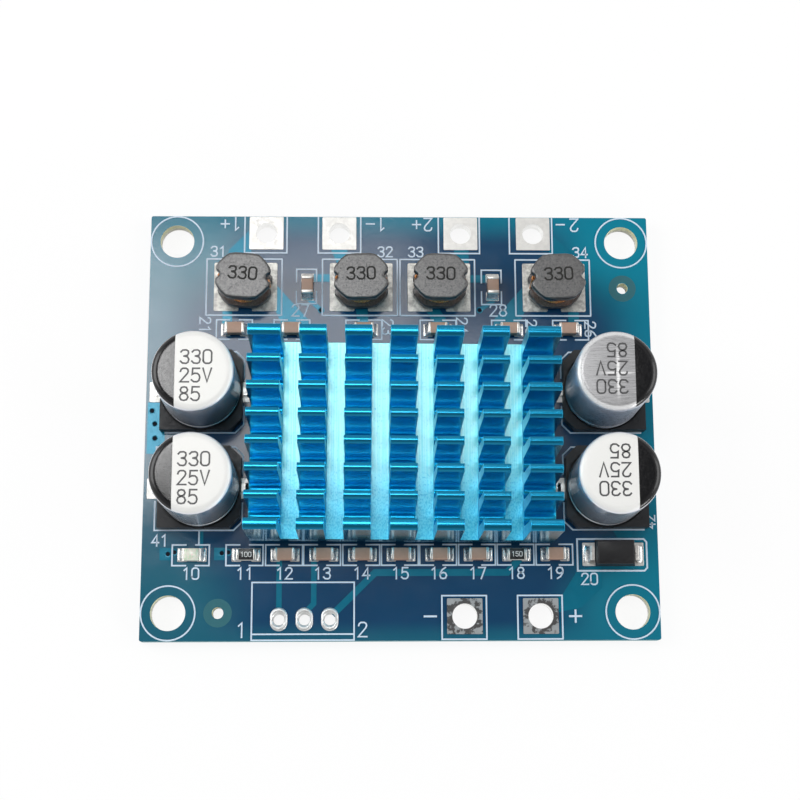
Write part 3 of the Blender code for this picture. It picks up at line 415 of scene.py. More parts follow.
def brushed_can_material(centre_x, centre_y):
    """Brushed aluminium: fine lines along X, with a painted crossed glint at the centre, a
    painted highlight on the shoulder and sides painted a darker, bluer reflection.
    """
    g = Graph("can_brushed")
    facing = g.facing_up()
    up = g.span(facing, 0.10, 0.96)
    # Painted highlight: the shoulder is mixed toward white
    shoulder = g.math("MULTIPLY", g.span(facing, 0.45, 0.90, 0.0, 0.62),
                      g.span(facing, 0.93, 0.998, 1.0, 0.0))
    brushed = g.noise(0.08, 4.0, 0.7, (0.04, 1.0, 1.0))
    x, y, _z = g.axes()
    off_x = g.math("ABSOLUTE", g.math("SUBTRACT", x, centre_x))
    off_y = g.math("ABSOLUTE", g.math("SUBTRACT", y, centre_y))
    # Painted glint: a bright cross through the middle of the top
    upright = g.math("MULTIPLY", g.span(off_x, 0.04, 0.26, 1.0, 0.0),
                     g.span(off_y, 0.8, 3.2, 1.0, 0.0))
    level = g.math("MULTIPLY", g.span(off_y, 0.04, 0.20, 1.0, 0.0),
                   g.span(off_x, 0.4, 2.2, 0.9, 0.0))
    glint = g.math("MULTIPLY", g.math("MAXIMUM", upright, level), g.span(brushed, 0.2, 0.6))
    flat = g.mix(g.span(brushed, 0.2, 0.8), (0.35, 0.35, 0.36), (0.55, 0.55, 0.56))
    pale = g.math("MAXIMUM", glint, shoulder)
    # Painted highlights over the top, and sides painted a darker, bluer reflection
    metal = g.mix(pale, g.mix(up, (0.50, 0.54, 0.62), flat), (1.0, 1.0, 1.0))
    g.feed(g.shader.inputs["Metallic"], g.span(pale, 0.0, 1.0, 0.45, 0.0))
    return g.finish(metal, g.span(brushed, 0.3, 0.7, 0.24, 0.34), None,
                    g.bump(brushed, 0.0010))


def ink_material(name, tone, ior, roughness):
    """Printed ink with uneven cover."""
    g = Graph(name)
    pale = tuple(min(1.0, channel * 1.35 + 0.004) for channel in tone)
    grain = g.noise(0.22, 4.0, 0.7)
    colour = g.mix(grain, tone, pale)
    return g.finish(colour, g.span(grain, 0.3, 0.7, roughness, roughness + 0.14),
                    normal=g.bump(g.noise(0.1, 3.0), 0.006), ior=ior)


def moulded_material(name, tone, roughness):
    """Moulded plastic with a fine spark-eroded grain."""
    g = Graph(name)
    pale = tuple(min(1.0, channel * 1.3 + 0.003) for channel in tone)
    colour = g.mix(g.noise(0.8, 3.0), tone, pale)
    return g.finish(colour, g.span(g.noise(0.3), 0.3, 0.7, roughness - 0.06, roughness + 0.08),
                    normal=g.bump(g.noise(0.07, 2.0), 0.008))


def ferrite_material():
    """Pressed ferrite: dark and faintly glossy, speckled, with a paler top that is partly
    scuffing and partly painted light.
    """
    g = Graph("ferrite")
    up = g.span(g.facing_up(), 0.88, 0.99)
    body = g.mix(g.noise(0.25, 4.0, 0.7), (0.004, 0.004, 0.004), (0.012, 0.012, 0.012))
    # The top's paler tone: real scuffing, and painted light on the face turned up to the lamps
    scuffed_and_lit_top = g.mix(g.span(g.noise(0.24, 5.0, 0.8), 0.36, 0.64), (0.030, 0.029, 0.030),
                    (0.115, 0.112, 0.110))
    colour = g.mix(up, body, scuffed_and_lit_top)
    pits = g.span(g.noise(0.20, 3.0, 0.6), 0.60, 0.66)
    colour = g.mix(pits, colour, (0.004, 0.004, 0.004))
    height = g.math("SUBTRACT", g.noise(0.16, 4.0, 0.7), g.math("MULTIPLY", pits, 2.0))
    return g.finish(colour, g.span(pits, 0.0, 1.0, 0.29, 0.60),
                    normal=g.bump(height, 0.007), ior=2.0)


def ceramic_material(name, tone):
    """Fired ceramic body with a soft mottle."""
    g = Graph(name)
    pale = tuple(channel * 1.25 for channel in tone)
    colour = g.mix(g.noise(0.35, 4.0, 0.6), tone, pale)
    return g.finish(colour, g.span(g.noise(0.2), 0.3, 0.7, 0.38, 0.5),
                    normal=g.bump(g.noise(0.09, 3.0), 0.006), ior=1.6)


def lens_material():
    """Pale lens with a faint green and pink play of colour."""
    g = Graph("lamp_lens")
    green = g.mix(g.span(g.noise(0.35, 2.0), 0.40, 0.7), (0.90, 0.90, 0.78), (0.60, 0.80, 0.56))
    colour = g.mix(g.span(g.noise(0.25, 2.0, 0.5, (1.0, 1.4, 1.0)), 0.54, 0.70), green,
                   (0.95, 0.76, 0.70))
    return g.finish(colour, 0.16, normal=g.bump(g.noise(0.3), 0.02), coat=0.6,
                    coat_roughness=0.05)


def copper_material():
    """Enamelled copper wire."""
    g = Graph("enamelled_copper")
    colour = g.mix(g.noise(0.4, 3.0), (0.66, 0.24, 0.065), (0.86, 0.38, 0.13))
    return g.finish(colour, g.span(g.noise(0.2), 0.3, 0.7, 0.2, 0.32), 0.6,
                    g.bump(g.noise(0.1), 0.004), coat=0.4)


MASK = mask_material()
COPPER_MASK = copper_mask_material()
EDGE = laminate_material("laminate_edge", (0.16, 0.44, 0.48), (0.05, 0.24, 0.30),
                         (0.10, 0.34, 0.40))
# Yellow bore walls, their near-white foot painted light glowing up from the floor beneath
BORE_WITH_PAINTED_UNDERLIGHT = laminate_material("laminate_bore", (0.92, 0.90, 0.66), (0.72, 0.74, 0.46),
                         (0.99, 0.99, 0.96))
BARE = laminate_material("bare_laminate", (0.018, 0.150, 0.180), (0.012, 0.120, 0.150),
                         (0.015, 0.135, 0.165))
LAND = tin_material("soldered_land", (0.80, 0.79, 0.76), 0.28, 0.16, 0.003, 0.70, 0.90)
COATED_LAND = tin_material("coated_land", (0.86, 0.85, 0.80), 0.34, 0.16, 0.012, 0.6, 0.52)
DULL_LAND = tin_material("dull_land", (0.84, 0.84, 0.83), 0.34, 0.30, 0.003, 0.75)
WORN_LAND = worn_land_material()
HOLE_PLATING = tin_material("hole_plating", (0.95, 0.95, 0.93), 0.12, 0.40, 0.001)
SOLDER = tin_material("bright_solder", (0.82, 0.81, 0.79), 0.20, 0.20, 0.006)
PLATE = tin_material("tin_plate", (0.86, 0.84, 0.80), 0.26, 0.14, 0.004)
ANODISED = anodised_material()
# The floors are a whiter copy of the cut ends' milled blue: painted reflection of the overhead
# light they face
MILLED = milled_material("milled_floor", (0.130, 0.690, 0.780), (0.250, 0.790, 0.850), 0.72,
                         1.5, 0.65)
CUT = milled_material("cut_fin_ends", (0.030, 0.640, 0.880), (0.080, 0.760, 0.960), 0.85,
                      1.5, 0.0)
SATIN_CAN = satin_can_material()
BRUSHED_CAN = brushed_can_material(*PAINTED_GLINT_MIDDLE)
CAN_INK = ink_material("can_ink", (0.002, 0.002, 0.003), 1.66, 0.07)
CAN_RIM = ink_material("can_ink_rim", (0.003, 0.003, 0.004), 1.50, 0.10)
DIGIT_INK = ink_material("digit_ink", (0.020, 0.020, 0.022), 1.9, 0.35)
BOARD_INK = ink_material("board_ink", (0.56, 0.67, 0.84), 1.5, 0.45)
WHITE_INK = ink_material("white_ink", (0.75, 0.75, 0.72), 1.5, 0.45)
# Near-black disc standing in for the shade down each via's hole
VIA_HOLE_SHADE = ink_material("via_hole_shade", (0.001, 0.003, 0.010), 1.25, 0.50)
BURNT_INK = ink_material("burnt_mark", (0.018, 0.017, 0.016), 1.4, 0.6)
BLACK_PLASTIC = moulded_material("black_plastic", (0.009, 0.010, 0.012), 0.42)
DIODE_PLASTIC = moulded_material("diode_plastic", (0.005, 0.005, 0.006), 0.36)
WHITE_PLASTIC = moulded_material("white_plastic", (0.78, 0.77, 0.72), 0.40)
FERRITE = ferrite_material()
TAN_CERAMIC = ceramic_material("tan_ceramic", (0.420, 0.265, 0.195))
ALUMINA = ceramic_material("alumina", (0.60, 0.59, 0.56))
GLAZE = ink_material("resistor_glaze", (0.012, 0.012, 0.013), 1.6, 0.25)
LENS = lens_material()
COPPER = copper_material()
ADHESIVE = moulded_material("thermal_adhesive", (0.50, 0.51, 0.53), 0.75)


# Mesh helpers


def node_box(node):
    """Lowest and highest corner of a frame node, in millimetres."""
    low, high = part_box(node)
    return low / MM, high / MM


def node_middle(node):
    low, high = node_box(node)
    return (low + high) / 2.0


def add_piece(name, bm, materials, replaces=(), sharp=40.0, bevel=0.0):
    """Finish a mesh in metres and let it ride on the board."""
    bmesh.ops.remove_doubles(bm, verts=bm.verts, dist=1e-4)
    bmesh.ops.recalc_face_normals(bm, faces=bm.faces)
    bm.transform(Matrix.Scale(MM, 4))
    mesh = bpy.data.meshes.new(name)
    bm.to_mesh(mesh)
    bm.free()
    mesh.shade_smooth()
    for material in materials:
        mesh.materials.append(material)
    piece = bpy.data.objects.new(name, mesh)
    bpy.context.scene.collection.objects.link(piece)
    if bevel:
        soften(piece, bevel)
    else:
        mesh.set_sharp_from_angle(angle=math.radians(sharp))
    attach(piece, "root")
    if replaces:
        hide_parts(*replaces)


def soften(piece, width):
    """Round the edges of a piece with a small bevel."""
    modifier = piece.modifiers.new("edges", "BEVEL")
    modifier.width = width * MM
    modifier.segments = 2
    modifier.limit_method = "ANGLE"
    modifier.angle_limit = math.radians(38.0)
    modifier.harden_normals = True


def dress_node(node, material, bevel):
    """Give a frame node that stays its material and soft edges."""
    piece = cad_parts[node]
    piece.data.materials.clear()
    piece.data.materials.append(material)
    soften(piece, bevel)


def rounded_box_outline(length, depth, radius, x=0.0, y=0.0, steps=3):
    points = []
    for side_x, side_y, start in ((1, -1, -90.0), (1, 1, 0.0), (-1, 1, 90.0), (-1, -1, 180.0)):
        centre_x = x + side_x * (length / 2.0 - radius)
        centre_y = y + side_y * (depth / 2.0 - radius)
        for step in range(steps + 1):
            angle = math.radians(start + 90.0 * step / steps)
            points.append((centre_x + radius * math.cos(angle),
                           centre_y + radius * math.sin(angle)))
    return points


def circle(radius, x=0.0, y=0.0, steps=48):
    turns = [2.0 * math.pi * step / steps for step in range(steps)]
    return [(x + radius * math.cos(turn), y + radius * math.sin(turn)) for turn in turns]


def oval(width, length, x, y, steps=48):
    """Oval with round ends along Y, its points spread like those of a circle."""
    radius = width / 2.0
    straight = (length - width) / 2.0
    points = []
    for px, py in circle(radius, 0.0, 0.0, steps):
        points.append((x + px, y + py + math.copysign(straight, py)))
    return points


def add_prism(bm, outline, bottom, top, material=0):
    """Closed prism over a flat outline."""
    lower = [bm.verts.new((x, y, bottom)) for x, y in outline]
    upper = [bm.verts.new((x, y, top)) for x, y in outline]
    faces = [bm.faces.new(list(reversed(lower))), bm.faces.new(upper)]
    for index in range(len(outline)):
        following = (index + 1) % len(outline)
        faces.append(bm.faces.new((lower[index], lower[following], upper[following],
                                   upper[index])))
    for face in faces:
        face.material_index = material


def add_plate(bm, outline, holes, bottom, top, faces_material, outer_material, hole_materials):
    """Plate with holes cut through it, and a material for each kind of wall."""
    edges = []
    walls = [(outline, outer_material)] + list(zip(holes, hole_materials))
    for loop, _material in walls:
        verts = [bm.verts.new((x, y, bottom)) for x, y in loop]
        edges += [bm.edges.new((verts[i - 1], verts[i])) for i in range(len(verts))]
    filled = bmesh.ops.triangle_fill(bm, use_beauty=True, edges=edges)
    lower = [item for item in filled["geom"] if isinstance(item, bmesh.types.BMFace)]
    for face in lower:
        face.material_index = faces_material
    for face in lower:
        corners = [(v.co.x, v.co.y) for v in face.verts]
        raised = bm.faces.new([bm.verts.new((x, y, top)) for x, y in corners])
        raised.material_index = faces_material
    for loop, material in walls:
        for index, (x, y) in enumerate(loop):
            back_x, back_y = loop[index - 1]
            wall = bm.faces.new([bm.verts.new(point) for point in (
                (back_x, back_y, bottom), (x, y, bottom), (x, y, top), (back_x, back_y, top))])
            wall.material_index = material


def add_loft(bm, loops, material=0, capped=True):
    """Skin between closed loops of equal length, with both ends closed if capped."""
    rings = [[bm.verts.new(point) for point in loop] for loop in loops]
    count = len(rings[0])
    faces = []
    for lower, upper in zip(rings, rings[1:]):
        for index in range(count):
            following = (index + 1) % count
            faces.append(bm.faces.new((lower[index], lower[following], upper[following],
                                       upper[index])))
    if capped:
        faces.append(bm.faces.new(list(reversed(rings[0]))))
        faces.append(bm.faces.new(rings[-1]))
    for face in faces:
        face.material_index = material
    return faces


def add_turned(bm, profile, x, y, steps=64, material=0):
    """Turn an (r, z) profile about an upright axis; a zero radius closes it."""
    rings = []
    for radius, height in profile:
        if radius <= 0.0:
            rings.append([bm.verts.new((x, y, height))])
        else:
            rings.append([bm.verts.new((px, py, height))
                          for px, py in circle(radius, x, y, steps)])
    for lower, upper in zip(rings, rings[1:]):
        for index in range(steps):
            following = (index + 1) % steps
            quad = [lower[index % len(lower)], lower[following % len(lower)],
                    upper[following % len(upper)], upper[index % len(upper)]]
            corners = list(dict.fromkeys(quad))
            if len(corners) > 2:
                bm.faces.new(corners).material_index = material


def add_stroke(bm, points, width, bottom, top, closed=False, material=0):
    """Flat ribbon along a line, with mitred corners and square ends."""
    top += RANDOM.random() * 0.004
    path = [Vector(point) for point in points]
    if not closed:
        path[0] = path[0] - (path[1] - path[0]).normalized() * width / 2.0
        path[-1] = path[-1] + (path[-1] - path[-2]).normalized() * width / 2.0
    count = len(path)
    sides = []
    for index, point in enumerate(path):
        before = path[index - 1] if closed or index > 0 else None
        after = path[(index + 1) % count] if closed or index < count - 1 else None
        into = (point - before).normalized() if before is not None else None
        out = (after - point).normalized() if after is not None else None
        into = into or out
        out = out or into
        along = (into + out).normalized() if (into + out).length > 1e-6 else out
        across = Vector((-along.y, along.x))
        reach = width / 2.0 / max(0.5, abs(across.dot(Vector((-out.y, out.x)))))
        sides.append((point + across * reach, point - across * reach))
    rings = []
    for left, right in sides:
        rings.append([bm.verts.new((left.x, left.y, bottom)),
                      bm.verts.new((left.x, left.y, top)),
                      bm.verts.new((right.x, right.y, top)),
                      bm.verts.new((right.x, right.y, bottom))])
    faces = []
    for index in range(count if closed else count - 1):
        first, second = rings[index], rings[(index + 1) % count]
        for corner in range(3):
            faces.append(bm.faces.new((first[corner], first[corner + 1], second[corner + 1],
                                       second[corner])))
    if not closed:
        faces.append(bm.faces.new(rings[0]))
        faces.append(bm.faces.new(list(reversed(rings[-1]))))
    for face in faces:
        face.material_index = material


GLYPHS = {
    "0": [[(0, .2), (.06, .07), (.18, 0), (.42, 0), (.54, .07), (.6, .2), (.6, .8), (.54, .93),
           (.42, 1), (.18, 1), (.06, .93), (0, .8), (0, .2)]],
    "1": [[(.12, .8), (.34, 1), (.34, 0)]],
    "2": [[(.02, .78), (.06, .91), (.18, 1), (.42, 1), (.54, .92), (.58, .78), (.52, .62),
           (0, 0), (.6, 0)]],
    "3": [[(.02, .85), (.14, .98), (.4, 1), (.54, .92), (.57, .76), (.5, .6), (.26, .54)],
          [(.26, .54), (.5, .48), (.6, .3), (.54, .08), (.4, 0), (.14, .02), (0, .16)]],
    "4": [[(.44, 0), (.44, 1), (0, .3), (.6, .3)]],
    "5": [[(.56, 1), (.08, 1), (.05, .55), (.2, .63), (.42, .62), (.55, .5), (.6, .32),
           (.54, .1), (.4, 0), (.16, .01), (0, .14)]],
    "6": [[(.5, 1), (.22, .82), (.03, .5), (0, .28), (.08, .06), (.28, 0), (.5, .05),
           (.6, .28), (.5, .5), (.28, .56), (.05, .42)]],
    "7": [[(0, 1), (.6, 1), (.22, 0)]],
    "8": [[(.3, .54), (.1, .62), (.04, .78), (.12, .95), (.3, 1), (.48, .95), (.56, .78),
           (.5, .62), (.3, .54), (.08, .44), (0, .24), (.1, .05), (.3, 0), (.5, .05),
           (.6, .24), (.52, .44), (.3, .54)]],
    "9": [[(.55, .58), (.32, .44), (.1, .5), (0, .72), (.1, .95), (.32, 1), (.52, .94),
           (.6, .72), (.57, .5), (.38, .18), (.1, 0)]],
    "+": [[(0, .5), (.6, .5)], [(.3, .2), (.3, .8)]],
    "-": [[(0, .5), (.6, .5)]],
    "V": [[(0, 1), (.3, 0), (.6, 1)]],
}
GLYPH_STEP = 0.82


def add_words(bm, words, x, y, height, width, bottom, top, turn=0.0, material=0, room=0):
    """Stroke characters centred on a point and turned by an angle in degrees.

    With room for more characters than there are, they stand at its start.
    """
    spread = (GLYPH_STEP * (max(room, len(words)) - 1) + 0.6) * height
    angle = math.radians(turn)
    for place, character in enumerate(words):
        for line in GLYPHS[character]:
            points = []
            for u, v in line:
                along = (u + GLYPH_STEP * place) * height - spread / 2.0
                up = (v - 0.5) * height
                points.append((x + along * math.cos(angle) - up * math.sin(angle),
                               y + along * math.sin(angle) + up * math.cos(angle)))
            add_stroke(bm, points, width, bottom, top, material=material)


# Camera and light


def make_camera():
    """Pinhole camera fitted to the photograph."""
    pitch, roll, yaw = (math.radians(value) for value in CAMERA_ANGLES)
    back = Vector((math.sin(pitch) * math.sin(yaw), -math.sin(pitch) * math.cos(yaw),
                   math.cos(pitch)))
    right = Vector((math.cos(yaw), math.sin(yaw), 0.0))
    up = back.cross(right)
    axis_x = math.cos(roll) * right + math.sin(roll) * up
    axis_y = -math.sin(roll) * right + math.cos(roll) * up
    place = (Vector((*CAMERA_AIM, BOARD_TOP)) + CAMERA_DISTANCE * back) * MM
    data = bpy.data.cameras.new("camera")
    data.sensor_width = 36.0
    data.lens = data.sensor_width * FOCAL_PIXELS / IMAGE_PIXELS
    data.shift_x = 0.5 - CENTRE_PIXEL[0] / IMAGE_PIXELS
    data.shift_y = CENTRE_PIXEL[1] / IMAGE_PIXELS - 0.5
    data.clip_start = 0.01
    data.clip_end = 20.0
    camera = bpy.data.objects.new("camera", data)
    turn = Matrix((axis_x, axis_y, back)).transposed().to_4x4()
    camera.matrix_world = Matrix.Translation(place) @ turn
    bpy.context.scene.collection.objects.link(camera)
    bpy.context.scene.camera = camera


def add_lamp(name, place, aim, size, radiance):
    """Rectangular soft box, in millimetres, with the given radiance."""
    data = bpy.data.lights.new(name, "AREA")
    data.shape = "RECTANGLE"
    data.size = size[0] * MM
    data.size_y = size[1] * MM
    data.energy = radiance * math.pi * data.size * data.size_y
    lamp = bpy.data.objects.new(name, data)
    lamp.location = Vector(place) * MM
    lamp.rotation_mode = "QUATERNION"
    lamp.rotation_quaternion = (Vector(place) - Vector(aim)).to_track_quat("Z", "Y")
    bpy.context.scene.collection.objects.link(lamp)


def make_world():
    """Pale studio: bright near the horizon, dimmer higher up and dark right overhead."""
    world = bpy.data.worlds.new("studio")
    world.use_nodes = True
    nodes, links = world.node_tree.nodes, world.node_tree.links
    background = nodes["Background"]
    split = nodes.new("ShaderNodeSeparateXYZ")
    links.new(nodes.new("ShaderNodeTexCoord").outputs["Generated"], split.inputs[0])
    shades = []
    for span in ((0.20, 0.50, 1.0, 0.42), (0.82, 0.97, 1.0, 0.30)):
        shade = nodes.new("ShaderNodeMapRange")
        shade.interpolation_type = "SMOOTHSTEP"
        for socket, value in zip(shade.inputs[1:5], span):
            socket.default_value = value
        links.new(split.outputs["Z"], shade.inputs[0])
        shades.append(shade.outputs["Result"])
    product = nodes.new("ShaderNodeMath")
    product.operation = "MULTIPLY"
    links.new(shades[0], product.inputs[0])
    links.new(shades[1], product.inputs[1])
    background.inputs["Color"].default_value = (1.0, 1.0, 1.0, 1.0)
    links.new(product.outputs[0], background.inputs["Strength"])
    bpy.context.scene.world = world


def make_floor():
    """White sweep that shows as background to the camera and in gloss, and keeps shadows."""
    bm = bmesh.new()
    bmesh.ops.create_circle(bm, cap_ends=True, segments=96, radius=6.0)
    mesh = bpy.data.meshes.new("floor")
    bm.to_mesh(mesh)
    bm.free()
    g = Graph("studio_floor")
    rays = g.add("ShaderNodeLightPath").outputs
    seen = g.math("MAXIMUM", rays["Is Camera Ray"], rays["Is Glossy Ray"])
    shown = g.math("MAXIMUM", seen, rays["Is Transmission Ray"])
    sockets = g.shader.inputs
    for name, value in (("Base Color", (0.12, 0.12, 0.12)), ("Roughness", 0.9),
                        ("Specular IOR Level", 0.0), ("Emission Color", (1.0, 1.0, 1.0)),
                        ("Emission Strength", g.math("MULTIPLY", shown, FLOOR_GLOW))):
        g.feed(sockets[name], value)
    mesh.materials.append(g.material)
    floor = bpy.data.objects.new("floor", mesh)
    bpy.context.scene.collection.objects.link(floor)


def light_studio():
    """Soft boxes overhead and at the sides, with a strip behind and a small glint in front."""
    make_world()
    centre = (0.0, 0.0, 0.0)
    add_lamp("top_box", (-58.0, 96.0, 400.0), (-58.0, 96.0, 0.0), (146.0, 96.0), 4.6)
    add_lamp("top_core", (-101.0, 94.0, 401.0), (-101.0, 94.0, 0.0), (60.0, 92.0), 2.9)
    add_lamp("top_wing", (33.5, 84.0, 400.0), (33.5, 84.0, 0.0), (37.0, 48.0), 4.4)
    add_lamp("back_strip", (95.0, 250.0, 400.0), (95.0, 250.0, 0.0), (150.0, 26.0), 2.6)
    add_lamp("front_glint", (300.0, -260.0, 130.0), centre, (130.0, 80.0), 10.0)
    add_lamp("left_box", (-330.0, 90.0, 230.0), centre, (260.0, 240.0), 3.6)
    add_lamp("right_box", (330.0, 30.0, 200.0), centre, (220.0, 200.0), 2.6)


# Board


def hole_list():
    """Every hole as (x, y, radius, plated)."""
    holes = [(x, y, MOUNT_RADIUS, False) for x in (-MOUNT_X, MOUNT_X)
             for y in (-MOUNT_Y, MOUNT_Y)]
    holes += [(x, y, TOOLING_RADIUS, False) for x, y in TOOLING_PLACES]
    holes += [(x, SPEAKER_Y, SPEAKER_RADIUS, True) for x in SPEAKER_X]
    holes += [(x, POWER_Y, POWER_RADIUS, True) for x in POWER_X]
    holes += [(x, AUDIO_Y, AUDIO_RADIUS, True) for x in AUDIO_X]
    return holes


def build_laminate():
    """Board plate with drilled holes."""
    bm = bmesh.new()
    holes = hole_list()
    loops = [circle(radius, x, y) for x, y, radius, _plated in holes]
    walls = [3 if plated else 2 for _x, _y, _radius, plated in holes]
    outline = rounded_box_outline(2.0 * BOARD_HALF_X, 2.0 * BOARD_HALF_Y, BOARD_CORNER, steps=6)
    add_plate(bm, outline, loops, 0.0, BOARD_TOP, 0, 1, walls)
    add_piece("board_laminate", bm, [MASK, EDGE, BORE_WITH_PAINTED_UNDERLIGHT, HOLE_PLATING],
              replaces=["circuit_board"], bevel=0.06)


def chip_nodes():
    """Nodes of all parts on chip lands, with the axis that they lie along."""
    names = [f"ceramic_capacitor_{index:02d}" for index in range(1, 16)]
    return names + ["resistor_1", "resistor_2", "indicator_lamp"]


def lies_across(node):
    low, high = node_box(node)
    return high.x - low.x < high.y - low.y


def build_small_lands():
    """Lands under the chips, the lamp, the diode, the capacitors and the inductors."""
    bm = bmesh.new()

    def land(size, corner, x, y, material=0):
        add_prism(bm, rounded_box_outline(*size, corner, x, y), LAND_FOOT, LAND_TOP, material)

    for node in chip_nodes():
        middle = node_middle(node)
        for out in (-CHIP_LAND_OUT, CHIP_LAND_OUT):
            if lies_across(node):
                land(CHIP_LAND[::-1], 0.1, middle.x, middle.y + out)
            else:
                land(CHIP_LAND, 0.1, middle.x + out, middle.y)
    middle = node_middle("diode_body")
    for out in (-DIODE_LAND_OUT, DIODE_LAND_OUT):
        land(DIODE_LAND, 0.1, middle.x + out, middle.y)
    for name in CAPACITORS:
        low, high = node_box(f"{name}_base")
        middle = (low + high) / 2.0
        side = math.copysign(1.0, middle.x)
        outer = side * (BOARD_HALF_X - CAN_LAND_TO_EDGE)
        inner = middle.x - side * ((high.x - low.x) / 2.0 + CAN_LAND_PAST_BASE)
        inward = side * CAN_LAND[0] / 2.0
        for centre in (outer - inward, inner + inward):
            land(CAN_LAND, 0.12, centre, middle.y)
    for index in range(1, 5):
        middle = node_middle(f"inductor_{index}_core")
        for out in (-INDUCTOR_LAND_OUT, INDUCTOR_LAND_OUT):
            land(INDUCTOR_LAND, 0.15, middle.x + out, middle.y, 1)
    add_piece("component_lands", bm, [LAND, COATED_LAND], bevel=0.03)


def build_wire_lands():
    """Square lands round the wire holes; those for the supply have been soldered before."""
    for name, row, y, radius, material in (
            ("speaker_lands", SPEAKER_X, SPEAKER_Y, SPEAKER_RADIUS, LAND),
            ("power_lands", POWER_X, POWER_Y, POWER_RADIUS, WORN_LAND)):
        bm = bmesh.new()
        for x in row:
            outline = rounded_box_outline(WIRE_LAND, WIRE_LAND, 0.1, x, y)
            add_plate(bm, outline, [circle(radius, x, y)], LAND_FOOT, LAND_TOP, 0, 0, [1])
        add_piece(name, bm, [material, HOLE_PLATING], bevel=0.04)


def build_audio_lands():
    """Oval lands with a domed coat of solder that runs into the hole."""
    bm = bmesh.new()
    for x in AUDIO_X:
        wide, long = AUDIO_LAND
        loops = []
        for inset, height in ((0.0, BOARD_TOP - 0.02), (0.02, BOARD_TOP + 0.06),
                              (0.10, BOARD_TOP + 0.12), (0.22, BOARD_TOP + 0.15)):
            outline = oval(wide - 2.0 * inset, long - 2.0 * inset, x, AUDIO_Y)
            loops.append([(px, py, height) for px, py in outline])
        for radius, height in ((AUDIO_RADIUS + 0.06, BOARD_TOP + 0.12),
                               (AUDIO_RADIUS - 0.02, BOARD_TOP), (AUDIO_RADIUS - 0.03, 0.02)):
            loops.append([(px, py, height) for px, py in circle(radius, x, AUDIO_Y)])
        add_loft(bm, loops, capped=False)
    add_piece("audio_lands", bm, [DULL_LAND], sharp=60.0)


def build_traces():
    """Copper under the mask, which stands up a little and looks paler."""
    bm = bmesh.new()
    low, high = BOARD_TOP - 0.02, BOARD_TOP + COPPER_RISE
    lines = (
        (0.55, ((-12.2, -14.1), (-12.2, -18.9))),
        (0.55, ((-8.74, -14.1), (-8.74, -18.35), (-9.3, -18.95))),
        (0.70, ((-6.6, -19.2), (-2.6, -15.27), (10.67, -15.27), (11.8, -14.1))),
        (0.35, ((-20.03, -11.0), (-20.03, -12.7))),
        (0.80, ((-9.3, 15.36), (-7.0, 15.36))),
        (0.45, ((-9.3, 12.9), (-8.2, 11.9))),
        (0.80, ((7.2, 15.3), (9.3, 15.3))),
        (0.45, ((9.6, 12.85), (8.26, 11.93))),
    )
    for width, points in lines:
        add_stroke(bm, points, width, low, high)
    areas = (
        ((-17.9, 18.3), (-15.8, 20.5), (-15.4, 17.0), (-17.9, 17.0)),
        ((-7.3, 18.6), (-5.5, 18.6), (-5.5, 17.6), (-6.6, 17.0)),
        ((5.6, 18.6), (7.2, 18.6), (7.2, 17.0), (5.9, 17.0)),
        ((16.0, 20.1), (18.4, 17.9), (18.4, 17.0), (15.4, 17.0)),
        ((-13.2, 14.8), (-12.7, 14.4), (-9.5, 10.85), (-9.5, 9.6), (-11.9, 9.6), (-13.2, 12.4)),
        ((-18.4, 12.0), (-17.4, 12.0), (-17.4, 10.0), (-18.4, 10.0)),
        ((-4.6, 12.0), (-3.4, 12.0), (-3.2, 10.0), (-4.4, 10.0)),
        ((2.6, 12.0), (4.1, 12.0), (5.6, 9.6), (4.0, 9.6)),
        ((13.3, 14.8), (13.3, 12.4), (11.9, 9.6), (9.7, 9.6), (9.7, 10.9), (12.8, 14.4)),
        ((17.5, 12.0), (18.6, 12.0), (18.6, 10.0), (17.5, 10.0)),
        ((17.8, -15.0), (20.25, -14.6), (20.2, -16.85), (18.1, -18.8), (15.6, -19.3),
         (15.6, -17.9), (16.2, -17.5)),
        ((21.2, -10.6), (22.95, -10.6), (24.0, -12.4), (22.2, -12.4)),
        ((-18.75, -12.75), (-17.4, -12.75), (-17.4, -14.0), (-18.75, -14.0)),
        ((-24.2, -12.75), (-22.8, -12.75), (-22.8, -14.0), (-24.2, -14.0)),
        ((-25.8, 2.1), (-24.0, 2.1), (-24.0, -3.2), (-25.8, -3.2)),
    )
    for outline in areas:
        add_prism(bm, outline, low, high + RANDOM.random() * 0.003)
    add_piece("copper_under_mask", bm, [COPPER_MASK], sharp=30.0)


def build_vias():
    """Small plated holes under the mask: a low ring round a shallow dimple, its dark colour
    painted shade in the hole beneath.
    """
    bm = bmesh.new()
    for x, y in VIAS:
        add_turned(bm, [(0.36, BOARD_TOP - 0.02), (0.34, BOARD_TOP + 0.046),
                        (0.23, BOARD_TOP + 0.050), (0.20, BOARD_TOP + 0.036)], x, y, 24)
        add_turned(bm, [(0.22, BOARD_TOP + 0.046), (0.12, BOARD_TOP + 0.040),
                        (0.0, BOARD_TOP + 0.038)], x, y, 24, 1)
    add_piece("vias", bm, [COPPER_MASK, VIA_HOLE_SHADE])


def build_tooling_rings():
    """Paler discs of bare laminate round the two tooling holes."""
    bm = bmesh.new()
    for x, y in TOOLING_PLACES:
        add_turned(bm, [(1.42, BOARD_TOP - 0.01), (1.42, BOARD_TOP + 0.006),
                        (TOOLING_RADIUS + 0.06, BOARD_TOP + 0.006),
                        (TOOLING_RADIUS + 0.06, BOARD_TOP - 0.01)], x, y, 48)
    add_piece("tooling_rings", bm, [BARE])


